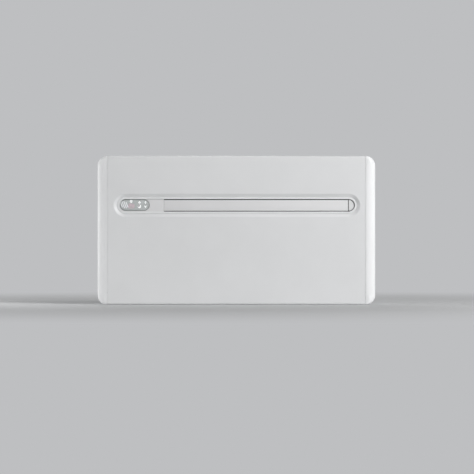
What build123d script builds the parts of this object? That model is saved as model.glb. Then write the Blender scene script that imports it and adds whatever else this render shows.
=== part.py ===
from build123d import *
import math
import os

# A wall-hung one-box air conditioner. X runs to the viewer's right, Z runs up, and the wall
# is the plane Y = 0. A depth is measured from the wall towards the room, so a depth d lies
# at Y = -d. The origin is the middle of the back face. Sizes are in millimetres.

# Case
case_w = 1010.0
case_h = 540.0
case_d = 165.0
corner_r = 35.0          # corners seen from the front
edge_r = 8.0             # rounding between the front and the sides, top and bottom
cap_w = 36.0             # width of each side cap
cap_wall = 2.5
cap_round_w = 35.0       # long rounding of a cap's front edge, seen from above
cap_round_d = 24.0
boss_r = 5.0
boss_margin = 42.0       # cap screws from the top and bottom
seam = 0.25              # half the gap between a side cap and the panel
sheet = 1.2              # painted and galvanised sheet
return_d = 24.0          # depth of the panel's folded top and bottom
mat_t = 6.8              # foam mat behind the lower half of the panel
fit = 0.3                # gap between parts that slip together
run_fit = 0.05           # radial clearance of shafts and pins
press_fit = 0.02         # radial clearance of bushes in their holes
screw_r = 1.9
panel_screw_margin = 85.0   # outer screws under the panel, from the panel's ends

# Recess and slot in the front
slot_x = 2.0
slot_margin = 77.0       # case's sides to the ends of a centred slot
slot_drop = 179.0        # middle of the slot below the case's top
slot_h = 45.2
rim_w = 7.0
slope_w = 12.0
recess_d = 6.0
frame_t = 2.5            # wall of the outlet frame
throat_len = 27.0        # from the flap's face back to the fan's guides

# Flap
bridge_len = 52.5        # closed part of the slot between display and flap
end_len = 23.0           # closed part between the flap and the slot's right end
flap_gap_top = 2.4
flap_gap_bottom = 1.7
flap_gap_end = 1.9
flap_t = 3.0
barrel_r = 5.0           # rounded lower edge, on the flap's axis
pin_r = 2.5
bush_r = 4.0
end_gap = 1.0            # between the flap's left end and its wall
shaft_grip = 8.0         # length of the motor shaft inside the flap
flap_rib_count = 6
flap_rib_d = 6.0
flap_motor_r = 11.5
flap_motor_offset = 9.5  # output shaft to the middle of the motor
flap_motor_len = 17.0
end_cover_gap = 2.4

# Display
display_len = 109.0
display_gap = 1.5
display_t = 2.4
board_t = 1.6

# Grille and filters
grille_d0 = 22.0
grille_d1 = 132.0
grille_bar = 3.0
grille_slot = 5.5
grille_bays = 4
filter_t = 4.0
insert_t = 8.0
ledge_w = 3.0
top_t = 3.0
rib_t = 2.0

# Room side: fan and evaporator
fan_d = 66.0
fan_drop = 158.0         # fan's axis below the case's top
fan_r = 42.0
fan_inner_r = 32.0
fan_blades = 20
fan_sections = 4
fan_disc_t = 2.0
fan_end_gap = 6.0
blade_t = 1.4
shaft_r = 4.0
bearing_r = 12.0
guide_gap_start = 6.0
guide_gap_end = 12.0
guide_t = 2.0
guide_top_d = 19.0       # face of the air guide's upper wall
guide_bend_drop = 102.0  # where the guide's spiral meets its upper wall
coil_tilt = 33.0
coil_t = 26.0
coil_back_d = 27.3       # depth of the evaporator's upper end
coil_front_gap = 18.0    # from the tray's front wall back to the evaporator
coil_drop = 112.0
fin_pitch = 6.0
fin_t = 1.2
tube_r = 3.5
tube_pitch = 21.0
tray_fan_gap = 4.0       # fan to the tray's back wall
tray_drop = 138.0
tray_h = 24.0
divider_drop = 230.0
fan_motor_r = 34.0
fan_motor_len = 38.0
guard_pitch = 14.0
guard_t = 1.6
guard_d = 8.0

# Outdoor side: ducts, radial fan, condenser, compressor
duct_r = 81.0
duct_x = 146.5
duct_wall = 2.5
gasket_w = 10.0
gasket_t = 4.0
flange_w = 8.0
scroll_d = 88.0
neck_r = 66.0
wheel_r = 85.0
wheel_inner_r = 70.0
wheel_blades = 24
wheel_d0 = 96.0
wheel_hub_r = 38.0
scroll_gap_start = 8.0
scroll_gap_end = 35.0
shell_t = 2.0
wheel_motor_r = 32.0
plenum_x0 = -20.0
cond_x0 = -4.0
cond_margin = 42.0       # condenser from the case's underside and from the divider
cond_comp_gap = 72.0     # condenser's end to the compressor's axis
cond_d0 = 50.0
hood_d = 20.0
comp_margin = 99.0       # compressor's axis to the side frame
comp_drop = 65.0         # its top below the divider
comp_r = 54.0
foot_h = 17.6
foot_circle_r = 60.0
foot_r = 10.0
pan_lip = 14.0
accu_d = 60.0
accu_r = 19.0
accu_rise = 55.0         # accumulator's lower end above the foot plate
accu_drop = 40.0         # its upper end below the compressor's top
strap_h = 12.0
wheel_cup_d = 36.0
pipe_r = 4.0
suction_r = 5.0
bend_r = 12.0
suction_d = 125.0
liquid_margin = 9.0
liquid_d = 30.0
drier_r = 9.0
drier_len = 60.0

# Electrics
ebox_d0 = 20.0
ebox_front_gap = 9.0
ebox_rise = 58.0         # box's floor above the case's underside
ebox_drop = 28.0         # its top below the divider
board_rise = 60.0
board_margin = 14.0
sink_w = 30.0
sink_h = 70.0
relay_w = 25.0
relay_h = 18.0
gland_margin = 65.0      # gland from the side frame and from the case's underside
gland_rise = 28.0
gland_r = 5.0

# Drain and wall rail
drain_margin = 25.5      # drain beside the radial fan's housing and the tray's end plate
drain_tray_gap = 16.0    # drain's axis in front of the tray's back wall
drain_r = 7.0
drain_len = 26.0
rail_len = 600.0
rail_drop = 65.0
rail_h = 35.0
rail_t = 2.0
rail_lip = 10.0
rail_hole_r = 3.0
rail_hole_pitch = 500.0
channel_d = 12.0
channel_margin = 8.0
hook_w = 40.0
hook_pitch = 220.0

# Places worked out from the sizes above
half_w = case_w / 2
half_h = case_h / 2
seam_x = half_w - cap_w
panel_x = seam_x - seam
side_x = seam_x - 4.0                   # inner face of the side frames
inner_d = case_d - sheet - mat_t        # front edge of everything behind the foam mat
floor_z = -half_h + 2 * sheet           # upper face of the base pan's floor
roof_z = half_h - top_t                 # underside of the top panel
face_d = case_d - recess_d              # depth of the rim, the flap and the display
frame_back_d = face_d - sheet - frame_t
slot_len = case_w - 2 * slot_margin
slot_z = half_h - slot_drop
slot_x0 = slot_x - slot_len / 2
slot_x1 = slot_x + slot_len / 2
slot_z0 = slot_z - slot_h / 2
slot_z1 = slot_z + slot_h / 2
display_x = slot_x0 + display_gap + display_len / 2
flap_x0 = slot_x0 + display_gap + display_len + bridge_len
flap_x1 = slot_x1 - end_len
flap_len = flap_x1 - flap_x0
flap_z0 = slot_z0 + flap_gap_bottom
flap_z1 = slot_z1 - flap_gap_top
flap_axis_d = face_d - barrel_r
flap_axis_z = flap_z0 + barrel_r
throat_x0 = flap_x0 - end_gap
throat_x1 = flap_x1 + flap_gap_end
throat_wall = 2.2
air_x0 = throat_x0 - throat_wall        # inner faces of the two end plates
air_x1 = throat_x1 + throat_wall
throat_d = face_d - throat_len
fan_z = half_h - fan_drop
tray_d0 = fan_d + fan_r + tray_fan_gap
tray_d1 = inner_d - 1.0
tray_z = half_h - tray_drop
drain_d = tray_d0 + drain_tray_gap
coil_d = tray_d1 - coil_front_gap       # depth and height of the evaporator's lower corner
coil_z = half_h - coil_drop
divider_z = half_h - divider_drop
duct_z = (divider_z - half_h) / 2
duct_hole_r = duct_r + gasket_w + 1.0
comp_x = side_x - comp_margin
comp_d = (inner_d + 7.0) / 2
comp_z0 = floor_z + foot_h
comp_z1 = divider_z - comp_drop
accu_x = side_x - accu_r - 2.0
accu_z0 = comp_z0 + accu_rise
accu_z1 = comp_z1 - accu_drop
liquid_x = side_x - liquid_margin
cond_x1 = comp_x - cond_comp_gap
cond_z0 = cond_margin - half_h
cond_z1 = divider_z - cond_margin
cond_d1 = scroll_d
drain_x = min(air_x0, -duct_x - wheel_r - scroll_gap_end) - drain_margin
ebox_x1 = drain_x - 14.0
ebox_d1 = inner_d - ebox_front_gap
ebox_z0 = ebox_rise - half_h
ebox_z1 = divider_z - ebox_drop
gland_x = gland_margin - side_x
gland_z = gland_rise - half_h
rail_z0 = half_h - rail_drop
out_dir = (0, -1, 0)


def block(x0, x1, d0, d1, z0, z1):
    """A box between two X values, two depths and two heights."""
    centre = Pos((x0 + x1) / 2, -(d0 + d1) / 2, (z0 + z1) / 2)
    return centre * Box(x1 - x0, d1 - d0, z1 - z0)


def rod_x(d, z, r, x0, x1):
    """A round bar along X."""
    return extrude(Plane.YZ.offset(x0) * Pos(-d, z) * Circle(r), amount=x1 - x0)


def rod_d(x, z, r, d0, d1):
    """A round bar that points out of the wall."""
    return extrude(Plane.XZ.offset(d0) * Pos(x, z) * Circle(r), amount=d1 - d0)


def rod_z(x, d, r, z0, z1):
    """An upright round bar."""
    return extrude(Plane.XY.offset(z0) * Pos(x, -d) * Circle(r), amount=z1 - z0)


def face_of(points):
    """A flat outline through points, in order."""
    return make_face(Polyline(*points, close=True))


def prism_x(points, x0, x1):
    """A (depth, height) outline run along X."""
    outline = Plane.YZ.offset(x0) * face_of([(-d, z) for d, z in points])
    return extrude(outline, amount=x1 - x0, dir=(1, 0, 0))


def stadium(cx, cz, length, height, d0, d1):
    """A long round-ended block that points out of the wall."""
    return extrude(Plane.XZ.offset(d0) * Pos(cx, cz) * SlotOverall(length, height), amount=d1 - d0)


def pipe(points, r, bend, bore=0.0):
    """A pipe through (x, depth, z) points with rounded corners."""
    path = FilletPolyline(*[(x, -d, z) for x, d, z in points], radius=bend)
    section = Circle(r) - Circle(bore) if bore else Circle(r)
    return sweep(Plane(origin=path @ 0, z_dir=path % 0) * section, path=path)


def u_bend(start, end, outward, r):
    """Half a turn of tube from one tube end to the next."""
    start, end, outward = Vector(*start), Vector(*end), Vector(*outward)
    reach = (end - start).length / 2
    path = ThreePointArc(start, (start + end) / 2 + outward * reach, end)
    return sweep(Plane(origin=path @ 0, z_dir=path % 0) * Circle(r), path=path)


def blade(r_in, r_out, lean, bow, thickness):
    """One curved fan blade, drawn as two arcs between an inner and an outer radius."""
    inner = Vector(r_in, 0)
    outer = Vector(r_out * math.cos(math.radians(lean)), r_out * math.sin(math.radians(lean)))
    chord = (outer - inner).normalized()
    normal = Vector(-chord.Y, chord.X)
    middle = (inner + outer) / 2 + normal * bow
    half = normal * (thickness / 2)
    upper = ThreePointArc(inner + half, middle + half, outer + half)
    lower = ThreePointArc(outer - half, middle - half, inner - half)
    return make_face(upper + Line(upper @ 1, lower @ 0) + lower + Line(lower @ 1, upper @ 0))


def comb(length, thickness, spine, pitch, tooth):
    """Outline of a fin pack: a thin middle sheet with fins on both sides."""
    count = int((length - tooth) // pitch) + 1
    start = (length - (count - 1) * pitch - tooth) / 2
    upper = [(0, spine / 2)]
    for i in range(count):
        x = start + i * pitch
        upper += [(x, spine / 2), (x, thickness / 2), (x + tooth, thickness / 2), (x + tooth, spine / 2)]
    upper.append((length, spine / 2))
    lower = [(x, -y) for x, y in reversed(upper)]
    return face_of(upper + lower)


# Case

def envelope(inset):
    """The whole case, drawn in by a wall's thickness."""
    outline = Plane.XZ.offset(inset) * RectangleRounded(
        case_w - 2 * inset, case_h - 2 * inset, corner_r - inset)
    solid = extrude(outline, amount=case_d - 2 * inset)
    front = solid.faces().sort_by(Axis.Y)[0]
    return fillet(front.edges(), edge_r - inset)


def cap_plan(inset):
    """Right end of the case seen from above, with the cap's long rounding, run up the whole height."""
    x, d = half_w - inset, case_d - inset
    round_w, round_d = cap_round_w - inset, cap_round_d - inset
    arc = EllipticalCenterArc((x - round_w, round_d - d), round_w, round_d, 270.0, arc_size=90.0)
    rest = Polyline(arc @ 1, (x, 0), (seam_x, 0), (seam_x, -d), arc @ 0)
    return extrude(Plane.XY.offset(-half_h) * make_face(arc + rest), amount=case_h)


def make_side_cap(side):
    """A moulded side cap, open towards the inside, with four bosses that meet the side frame."""
    shell = (envelope(0) & cap_plan(0)) - (envelope(cap_wall) & cap_plan(cap_wall))
    x_in, x_out = seam_x + seam, half_w
    cap = shell & block(x_in, x_out, 0, case_d, -half_h, half_h)
    for d, z in cap_screw_points():
        boss = rod_x(d, z, boss_r, side_x + sheet, half_w - cap_wall / 2)
        cap += boss - rod_x(d, z, screw_r + fit, side_x, side_x + 14.0)
    return cap if side > 0 else mirror(cap, about=Plane.YZ)


def cap_screw_points():
    """Depths and heights of the four screws that hold a side cap."""
    return [(d, z) for d in (30.0, case_d - 35.0) for z in (boss_margin - half_h, half_h - boss_margin)]


def screw_hole_points():
    """Middles of the four screws under the front panel's lower fold."""
    d = case_d - return_d + 7.0
    outer = panel_x - panel_screw_margin
    return [(outer * share, d) for share in (-1, -1 / 3, 1 / 3, 1)]


def make_front_panel():
    """Folded sheet panel with the pressed recess that slopes in to the slot."""
    shell = envelope(0) - envelope(sheet)
    panel = shell & block(-panel_x, panel_x, case_d - return_d, case_d, -half_h, half_h)
    outer_l, outer_h = slot_len + 2 * (rim_w + slope_w), slot_h + 2 * (rim_w + slope_w)
    inner_l, inner_h = slot_len + 2 * rim_w, slot_h + 2 * rim_w

    def funnel(front_d):
        outer = Plane.XZ.offset(front_d) * Pos(slot_x, slot_z) * SlotOverall(outer_l, outer_h)
        inner = Plane.XZ.offset(front_d - recess_d) * Pos(slot_x, slot_z) * SlotOverall(inner_l, inner_h)
        return loft([outer.face(), inner.face()])

    panel = panel + funnel(case_d - sheet) - funnel(case_d)
    panel -= stadium(slot_x, slot_z, inner_l, inner_h, face_d - 2 * sheet, case_d)
    for x, d in screw_hole_points():
        panel -= rod_z(x, d, 2 * screw_r + 0.1, -half_h - 1, -half_h + sheet + 0.1)
    return panel


def make_foam_mat():
    """Noise mat glued behind the lower part of the front panel."""
    top = slot_z0 - rim_w - slope_w - 9.0
    return block(-side_x, side_x, inner_d, inner_d + mat_t, -half_h + 9.0, top)


def make_casing_screws():
    """Screws under the front panel and through the side frames into the caps."""
    screws = []
    for x, d in screw_hole_points():
        head = rod_z(x, d, 2 * screw_r, -half_h, -half_h + sheet)
        screws.append(head + rod_z(x, d, screw_r, -half_h, floor_z + 6.0))
    for d, z in cap_screw_points():
        screw = rod_x(d, z, 2 * screw_r, side_x - 2.4, side_x)
        screw += rod_x(d, z, screw_r, side_x - 2.4, side_x + 12.0)
        screws += [screw, mirror(screw, about=Plane.YZ)]
    return Compound(children=screws)


def grille_openings():
    """X limits of the two lift-out cassettes."""
    gap = 6.0
    each = (flap_len - gap) / 2
    return [(flap_x0, flap_x0 + each), (flap_x1 - each, flap_x1)]


def make_top_panel():
    """Top cover with two framed openings, each with a ledge that carries a cassette."""
    panel = block(-panel_x, panel_x, 0, case_d - return_d - seam, roof_z, half_h)
    tongue_d = case_d - return_d - 3.0
    panel += block(-panel_x + 5, panel_x - 5, tongue_d, tongue_d + 12.0, roof_z, half_h - sheet)
    ledge_z = half_h - insert_t - filter_t
    for x0, x1 in grille_openings():
        panel += block(x0 - rib_t, x1 + rib_t, grille_d0 - rib_t, grille_d1 + rib_t,
                       ledge_z - rib_t, half_h)
        panel -= block(x0, x1, grille_d0, grille_d1, ledge_z, half_h + 1)
        panel -= block(x0 + ledge_w, x1 - ledge_w, grille_d0 + ledge_w, grille_d1 - ledge_w,
                       ledge_z - rib_t - 1, half_h)
    return panel


def make_grille_insert(x0, x1):
    """Slotted grille that lifts out with its filter."""
    x0, x1, d0, d1 = x0 + 0.5, x1 - 0.5, grille_d0 + 0.5, grille_d1 - 0.5
    insert = block(x0, x1, d0, d1, half_h - insert_t, half_h)
    insert -= block(x0 + rib_t, x1 - rib_t, d0 + rib_t, d1 - rib_t, half_h - insert_t - 1, half_h - 4)
    pitch = grille_bar + grille_slot
    rows = int((d1 - d0 - 2 * rib_t - grille_bar) // pitch)
    bay = (x1 - x0 - grille_bar) / grille_bays
    first = (d0 + d1) / 2 - (rows * pitch - grille_bar) / 2
    slots = Part()
    for row in range(rows):
        for column in range(grille_bays):
            left = x0 + grille_bar + column * bay
            d = first + row * pitch
            slots += block(left, left + bay - grille_bar, d, d + grille_slot, half_h - 5, half_h + 1)
    return insert - slots


def make_filter(x0, x1):
    """Dust filter: a thin net in a plastic frame."""
    x0, x1, d0, d1 = x0 + 0.5, x1 - 0.5, grille_d0 + 0.5, grille_d1 - 0.5
    z0 = half_h - insert_t - filter_t
    frame = block(x0, x1, d0, d1, z0, z0 + filter_t)
    frame -= block(x0 + 5, x1 - 5, d0 + 5, d1 - 5, z0 + 0.6, z0 + filter_t + 1)
    for i in (1, 2, 3):
        x = x0 + (x1 - x0) * i / 4
        frame += block(x - 1.5, x + 1.5, d0, d1, z0, z0 + filter_t)
    return frame


# Chassis

def make_back_plate():
    """Flat back with two duct holes, the rail channel and a top flange."""
    plate = block(-panel_x, panel_x, 0, sheet, -half_h, roof_z)
    z0, z1 = rail_z0 - channel_margin, rail_z0 + rail_h + rail_lip + channel_margin
    x = rail_len / 2 + channel_margin
    plate += block(-x - sheet, x + sheet, 0, channel_d + sheet, z0 - sheet, z1 + sheet)
    plate -= block(-x, x, -1, channel_d, z0, z1)
    plate += block(-side_x, side_x, 0, 14.0, roof_z - sheet, roof_z)
    for side in (-1, 1):
        plate -= rod_d(side * duct_x, duct_z, duct_hole_r, -1, sheet + 1)
    plate -= rod_d(gland_x, gland_z, gland_r + 3 + fit, -1, sheet + 1)
    return plate


def make_base_pan():
    """Floor of the case, with a front edge turned up and studs for the compressor."""
    pan = block(-panel_x, panel_x, sheet, inner_d, floor_z - sheet, floor_z)
    pan += block(-side_x, side_x, inner_d - sheet, inner_d, floor_z, floor_z + pan_lip)
    for x, d in screw_hole_points():
        pan -= rod_z(x, d, screw_r + 0.05, floor_z - 5, floor_z + 5)
    pan -= rod_z(drain_x, drain_d, drain_r + 2 + 0.1, floor_z - 5, floor_z + 5)
    return pan


def make_side_frame(side):
    """Upright sheet at one end of the chassis."""
    plate = block(side_x, side_x + sheet, sheet, inner_d, floor_z, roof_z)
    for d, z in cap_screw_points():
        plate -= rod_x(d, z, screw_r + 0.05, side_x - 1, side_x + sheet + 1)
    return plate if side > 0 else mirror(plate, about=Plane.YZ)


def make_divider():
    """Bulkhead between the room side above and the outdoor side below."""
    plate = block(-side_x, side_x, sheet, inner_d, divider_z - sheet, divider_z)
    plate -= rod_z(drain_x, drain_d, drain_r + 2, divider_z - 5, divider_z + 5)
    plate -= rod_z(accu_x - 4, suction_d, suction_r + 1, divider_z - 5, divider_z + 5)
    plate -= rod_z(liquid_x, liquid_d, pipe_r + 1, divider_z - 5, divider_z + 5)
    return plate


def make_wall_rail():
    """Rail screwed to the wall, with a forward step and an upturned lip."""
    x = rail_len / 2
    top = rail_z0 + rail_h
    step = rail_t + 4.0
    rail = block(-x, x, 0, rail_t, rail_z0, top)
    rail += block(-x, x, 0, step + rail_t, top - rail_t, top)
    rail += block(-x, x, step, step + rail_t, top - rail_t, top + rail_lip)
    for side in (-1, 1):
        rail -= rod_d(side * rail_hole_pitch / 2, rail_z0 + rail_h / 2, rail_hole_r, -1, rail_t + 1)
    return rail


def make_hang_hooks():
    """Hooks in the back plate's channel that sit over the rail's lip."""
    top = rail_z0 + rail_h + rail_lip
    step = rail_t + 4.0
    hooks = []
    for i in (-1, 0, 1):
        x0, x1 = i * hook_pitch - hook_w / 2, i * hook_pitch + hook_w / 2
        hook = block(x0, x1, channel_d - 2, channel_d, top - 32.0, top + 2)
        hook += block(x0, x1, step - 2 - fit, channel_d, top, top + 2)
        hook += block(x0, x1, step - 2 - fit, step - fit, top - 7.0, top + 2)
        hooks.append(hook)
    return Compound(children=hooks)


# Outlet frame, flap and display

def make_outlet_frame():
    """Rim round the slot with the throat, the display pocket and the flap motor's wall."""
    inner_l, inner_h = slot_len + 2 * rim_w - 2 * seam, slot_h + 2 * rim_w - 2 * seam
    frame = stadium(slot_x, slot_z, inner_l, inner_h, frame_back_d, face_d)
    frame += stadium(slot_x, slot_z, inner_l + 12, inner_h + 12, frame_back_d, face_d - sheet)
    frame += block(air_x0, air_x1, throat_d, face_d - sheet, slot_z0 - throat_wall, slot_z1 + throat_wall)
    pocket_d = frame_back_d - 12.0
    pocket = stadium(display_x, slot_z, display_len + 2 * throat_wall,
                     slot_h - 2 * display_gap + 2 * throat_wall, pocket_d, face_d - sheet)
    frame += pocket
    # The bridge between display and flap lies a little behind the rim.
    slot_cut = stadium(slot_x, slot_z, slot_len, slot_h, face_d - 0.8, face_d + 1)
    frame -= slot_cut
    window_h = slot_h - 2 * display_gap + 2 * fit
    frame -= stadium(display_x, slot_z, display_len + 2 * fit, window_h, face_d - display_t, face_d + 1)
    frame -= stadium(display_x, slot_z, display_len - 5, window_h - 5, pocket_d - 1, face_d)
    frame -= block(throat_x0, throat_x1, throat_d - 1, face_d + 1, slot_z0, slot_z1)
    slot_end = block(throat_x1, half_w, 0, case_d, -half_h, half_h)
    frame -= stadium(slot_x, slot_z, slot_len, slot_h, face_d - display_t, face_d + 1) & slot_end
    # A shadow gap runs round the end cover and opens behind the frame.
    gap_h = slot_h - 2 * end_cover_gap
    gap = stadium(slot_x, slot_z, slot_len, slot_h, frame_back_d - 1, face_d)
    gap -= stadium(slot_x, slot_z, slot_len - 2 * end_cover_gap, gap_h, frame_back_d - 2, face_d + 1)
    frame -= gap & slot_end & block(air_x1, half_w, 0, case_d, -half_h, half_h)
    frame -= rod_x(flap_axis_d, flap_axis_z, bush_r, air_x0, throat_x0 + 1)
    frame -= rod_x(flap_axis_d, flap_axis_z, pin_r + 0.7, throat_x1 - 1, air_x1 + 1)
    motor_d = flap_axis_d - flap_motor_offset
    frame -= rod_x(motor_d, flap_axis_z, flap_motor_r + 1.5, air_x1, half_w)
    return frame


def make_outlet_flap():
    """Long flap: a flat plate on a round lower edge, with ribs behind and a pivot pin."""
    flap = block(flap_x0, flap_x1, face_d - flap_t, face_d, flap_axis_z, flap_z1)
    flap += rod_x(flap_axis_d, flap_axis_z, barrel_r, flap_x0, flap_x1)
    span = flap_len - 2.0
    for i in range(flap_rib_count):
        x = flap_x0 + 1.0 + span * i / (flap_rib_count - 1)
        flap += block(x - 1, x + 1, face_d - flap_t - flap_rib_d, face_d - 1, flap_axis_z, flap_z1 - 6)
    flap += rod_x(flap_axis_d, flap_axis_z, pin_r, air_x0, flap_x0 + 1)
    flap -= rod_x(flap_axis_d, flap_axis_z, pin_r + run_fit, flap_x1 - shaft_grip - fit, flap_x1 + 2)
    return flap


def make_flap_shaft():
    """Motor output shaft in the flap's right end."""
    return rod_x(flap_axis_d, flap_axis_z, pin_r, flap_x1 - shaft_grip, air_x1 + 9.0)


def make_flap_motor():
    """Small geared stepper with its output shaft off centre."""
    d = flap_axis_d - flap_motor_offset
    motor = rod_x(d, flap_axis_z, flap_motor_r, air_x1, air_x1 + flap_motor_len)
    motor += block(air_x1, air_x1 + 2, throat_d, flap_axis_d, flap_axis_z - 4, flap_axis_z + 4)
    motor -= rod_x(flap_axis_d, flap_axis_z, pin_r + run_fit, air_x1 - 1, air_x1 + 10.0)
    return motor


def make_flap_bush():
    """Flanged bush for the flap's left pin."""
    bush = rod_x(flap_axis_d, flap_axis_z, bush_r - press_fit, air_x0, throat_x0)
    bush += rod_x(flap_axis_d, flap_axis_z, barrel_r - fit, throat_x0, throat_x0 + 0.6)
    return bush - rod_x(flap_axis_d, flap_axis_z, pin_r + run_fit, air_x0 - 1, throat_x0 + 1)


def make_end_cover():
    """D-shaped cover over the flap motor, in the slot's round end."""
    d0 = face_d - display_t
    cover = stadium(slot_x, slot_z, slot_len - 2 * end_cover_gap, slot_h - 2 * end_cover_gap, d0, face_d)
    return cover & block(throat_x1, half_w, d0, face_d, -half_h, half_h)


def make_display_window():
    """Tinted lens over the display."""
    return stadium(display_x, slot_z, display_len, slot_h - 2 * display_gap, face_d - display_t, face_d + 0.4)


def make_display_board():
    """Display board with its digit block, lamps and touch pads."""
    window_h = slot_h - 2 * display_gap - 5 - 2 * fit
    d0 = frame_back_d - 8.0
    board = stadium(display_x, slot_z, display_len - 5 - 2 * fit, window_h, d0, d0 + board_t)
    board += block(display_x - 22, display_x - 6, d0, d0 + 5.0, slot_z - 6, slot_z + 6)
    for x, z in ((-34, 6), (-34, -6), (12, 6), (12, -6), (30, 6), (30, -6)):
        board += rod_d(display_x + x, slot_z + z, 2.5, d0, d0 + 4.0)
    return board


def make_outlet_guard():
    """Fixed upright vanes in the throat that keep fingers from the fan."""
    d0 = throat_d + 2.0
    guard = block(throat_x0, throat_x1, d0, d0 + guard_d, slot_z1 - 2, slot_z1)
    guard += block(throat_x0, throat_x1, d0, d0 + guard_d, slot_z0, slot_z0 + 2)
    count = int((throat_x1 - throat_x0 - guard_t) // guard_pitch)
    start = (throat_x0 + throat_x1) / 2 - guard_pitch * (count - 1) / 2
    for i in range(count):
        x = start + i * guard_pitch
        guard += block(x - guard_t / 2, x + guard_t / 2, d0, d0 + guard_d, slot_z0 + 1, slot_z1 - 1)
    return guard


# Room side

def make_air_end(side):
    """Sheet end plate that carries the fan, the guides, the tray and the evaporator."""
    x0 = air_x0 - sheet if side < 0 else air_x1
    low, high = throat_d - 2.0, tray_d1 - 1.0
    points = [(sheet + 13, divider_z), (low, divider_z), (low, slot_z1 + 4.4), (high, slot_z1 + 4.4),
              (high, roof_z - 67), (high - 35, roof_z), (sheet + 13, roof_z)]
    plate = prism_x(points, x0, x0 + sheet)
    plate -= rod_x(fan_d, fan_z, bearing_r, x0 - 1, x0 + sheet + 1)
    if side < 0:
        plate -= rod_x(drain_d, tray_z + 10, drain_r + 0.5, x0 - 1, x0 + sheet + 1)
    return plate


def guide_points(gap_shift, extra):
    """Points on the spiral behind the fan, from above the wall side to straight below."""
    points = []
    steps = 12
    for i in range(steps + 1):
        angle = math.radians(45.0 - 135.0 * i / steps)
        gap = guide_gap_start + (guide_gap_end - guide_gap_start) * i / steps
        r = fan_r + gap + gap_shift
        points.append((fan_d - r * math.cos(angle) - extra, fan_z + r * math.sin(angle)))
    return points


def make_air_guide():
    """Spiral wall behind and below the fan, run out to the slot's lower edge."""
    inner = guide_points(0, 0)
    outer = guide_points(guide_t, 0)
    top_d, top_z, bend_z = guide_top_d, roof_z - 31, half_h - guide_bend_drop
    inside = Spline(*[(-d, z) for d, z in inner])
    outside = Spline(*[(-d, z) for d, z in outer])
    edge = Polyline(inside @ 1, (-throat_d, slot_z0), (-throat_d, slot_z0 - throat_wall), outside @ 1)
    lip = Polyline(outside @ 0, (-top_d + guide_t, bend_z), (-top_d + guide_t, top_z), (-top_d, top_z),
                   (-top_d, bend_z), inside @ 0)
    outline = make_face(inside + edge + outside + lip)
    return extrude(Plane.YZ.offset(air_x0) * outline, amount=air_x1 - air_x0, dir=(1, 0, 0))


def make_drain_tray():
    """Channel under the evaporator's lower edge, with the fan's tongue and a drain stub."""
    d0, d1, z0 = tray_d0, tray_d1, tray_z
    tray = block(air_x0, air_x1, d0, d1, z0, z0 + tray_h)
    tray -= block(air_x0 + guide_t, air_x1 - guide_t, d0 + guide_t, d1 - guide_t, z0 + guide_t, z0 + tray_h + 1)
    tray -= block(air_x0 + guide_t, air_x1 - guide_t, d0 - 1, d0 + guide_t + 1, z0 + 18, z0 + tray_h + 1)
    tongue = [(throat_d, slot_z1), (throat_d, z0), (d0, z0), (fan_d + fan_r + 1.5, z0 - 6.5)]
    tray += prism_x(tongue, air_x0, air_x1)
    stub = rod_x(drain_d, z0 + 10, drain_r, air_x0 - 8, air_x0 + guide_t)
    return tray + stub - rod_x(drain_d, z0 + 10, drain_r - 2, air_x0 - 9, air_x0 + guide_t + 1)


coil_cos = math.cos(math.radians(coil_tilt))
coil_sin = math.sin(math.radians(coil_tilt))
coil_len = (coil_d - coil_back_d) / coil_cos
coil_corner = (0, -coil_d - coil_t * coil_sin, coil_z + coil_t * coil_cos)
coil_plane = Plane(origin=coil_corner, x_dir=(1, 0, 0), z_dir=(0, coil_cos, coil_sin))
coil_tubes = 6
coil_rows = (coil_t * 0.25, coil_t * 0.75)


def make_evaporator_fins():
    """Slanted fin pack between the end plates."""
    outline = comb(air_x1 - air_x0 - 2 * fit, coil_t, 2.0, fin_pitch, fin_t)
    placed = coil_plane * Pos(air_x0 + fit, coil_t / 2) * outline
    return extrude(placed, amount=coil_len, dir=coil_plane.z_dir)


def coil_point(x, across, along):
    """A point in the evaporator, given across its thickness and along its slope."""
    return coil_plane.from_local_coords(Vector(x, across, along))


def coil_tube(x, across, i):
    """Middle of one tube's end, counted from the coil's lower edge."""
    first = (coil_len - (coil_tubes - 1) * tube_pitch) / 2
    return coil_point(x, across, first + i * tube_pitch)


def make_evaporator_bends():
    """Return bends outside both end plates, leaving the top tubes free for the pipes."""
    right, left = air_x1 + sheet, air_x0 - sheet
    bends = [u_bend(coil_tube(right, coil_rows[0], 0), coil_tube(right, coil_rows[1], 0), (1, 0, 0), tube_r)]
    for across in coil_rows:
        for x, outward, starts in ((right, 1, (1, 3)), (left, -1, (0, 2, 4))):
            for i in starts:
                bends.append(u_bend(coil_tube(x, across, i), coil_tube(x, across, i + 1), (outward, 0, 0), tube_r))
    return Compound(children=bends)


def make_fan_rotor():
    """Cross-flow fan: blades along X between discs, with a shaft at each end."""
    x0, x1 = flap_x0 + fan_end_gap, flap_x1 - fan_end_gap
    blades = Sketch() + [Rot(0, 0, 360 * i / fan_blades) * blade(fan_inner_r, fan_r - 0.3, -14, 1.6, blade_t)
                         for i in range(fan_blades)]
    middle = Plane.YZ.offset(x0) * Pos(-fan_d, fan_z)
    rotor = extrude(middle * blades, amount=x1 - x0, dir=(1, 0, 0))
    ring = Circle(fan_r) - Circle(fan_inner_r - 1)
    step = (x1 - x0 - fan_disc_t) / fan_sections
    for i in range(fan_sections + 1):
        plane = Plane.YZ.offset(x0 + i * step) * Pos(-fan_d, fan_z)
        shape = Circle(fan_r) if i in (0, fan_sections) else ring
        rotor += extrude(plane * shape, amount=fan_disc_t, dir=(1, 0, 0))
    rotor += rod_x(fan_d, fan_z, shaft_r, air_x0 - sheet - 3, x0 + 1)
    rotor += rod_x(fan_d, fan_z, shaft_r, x1 - 1, air_x1 + sheet + 28)
    return rotor


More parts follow.
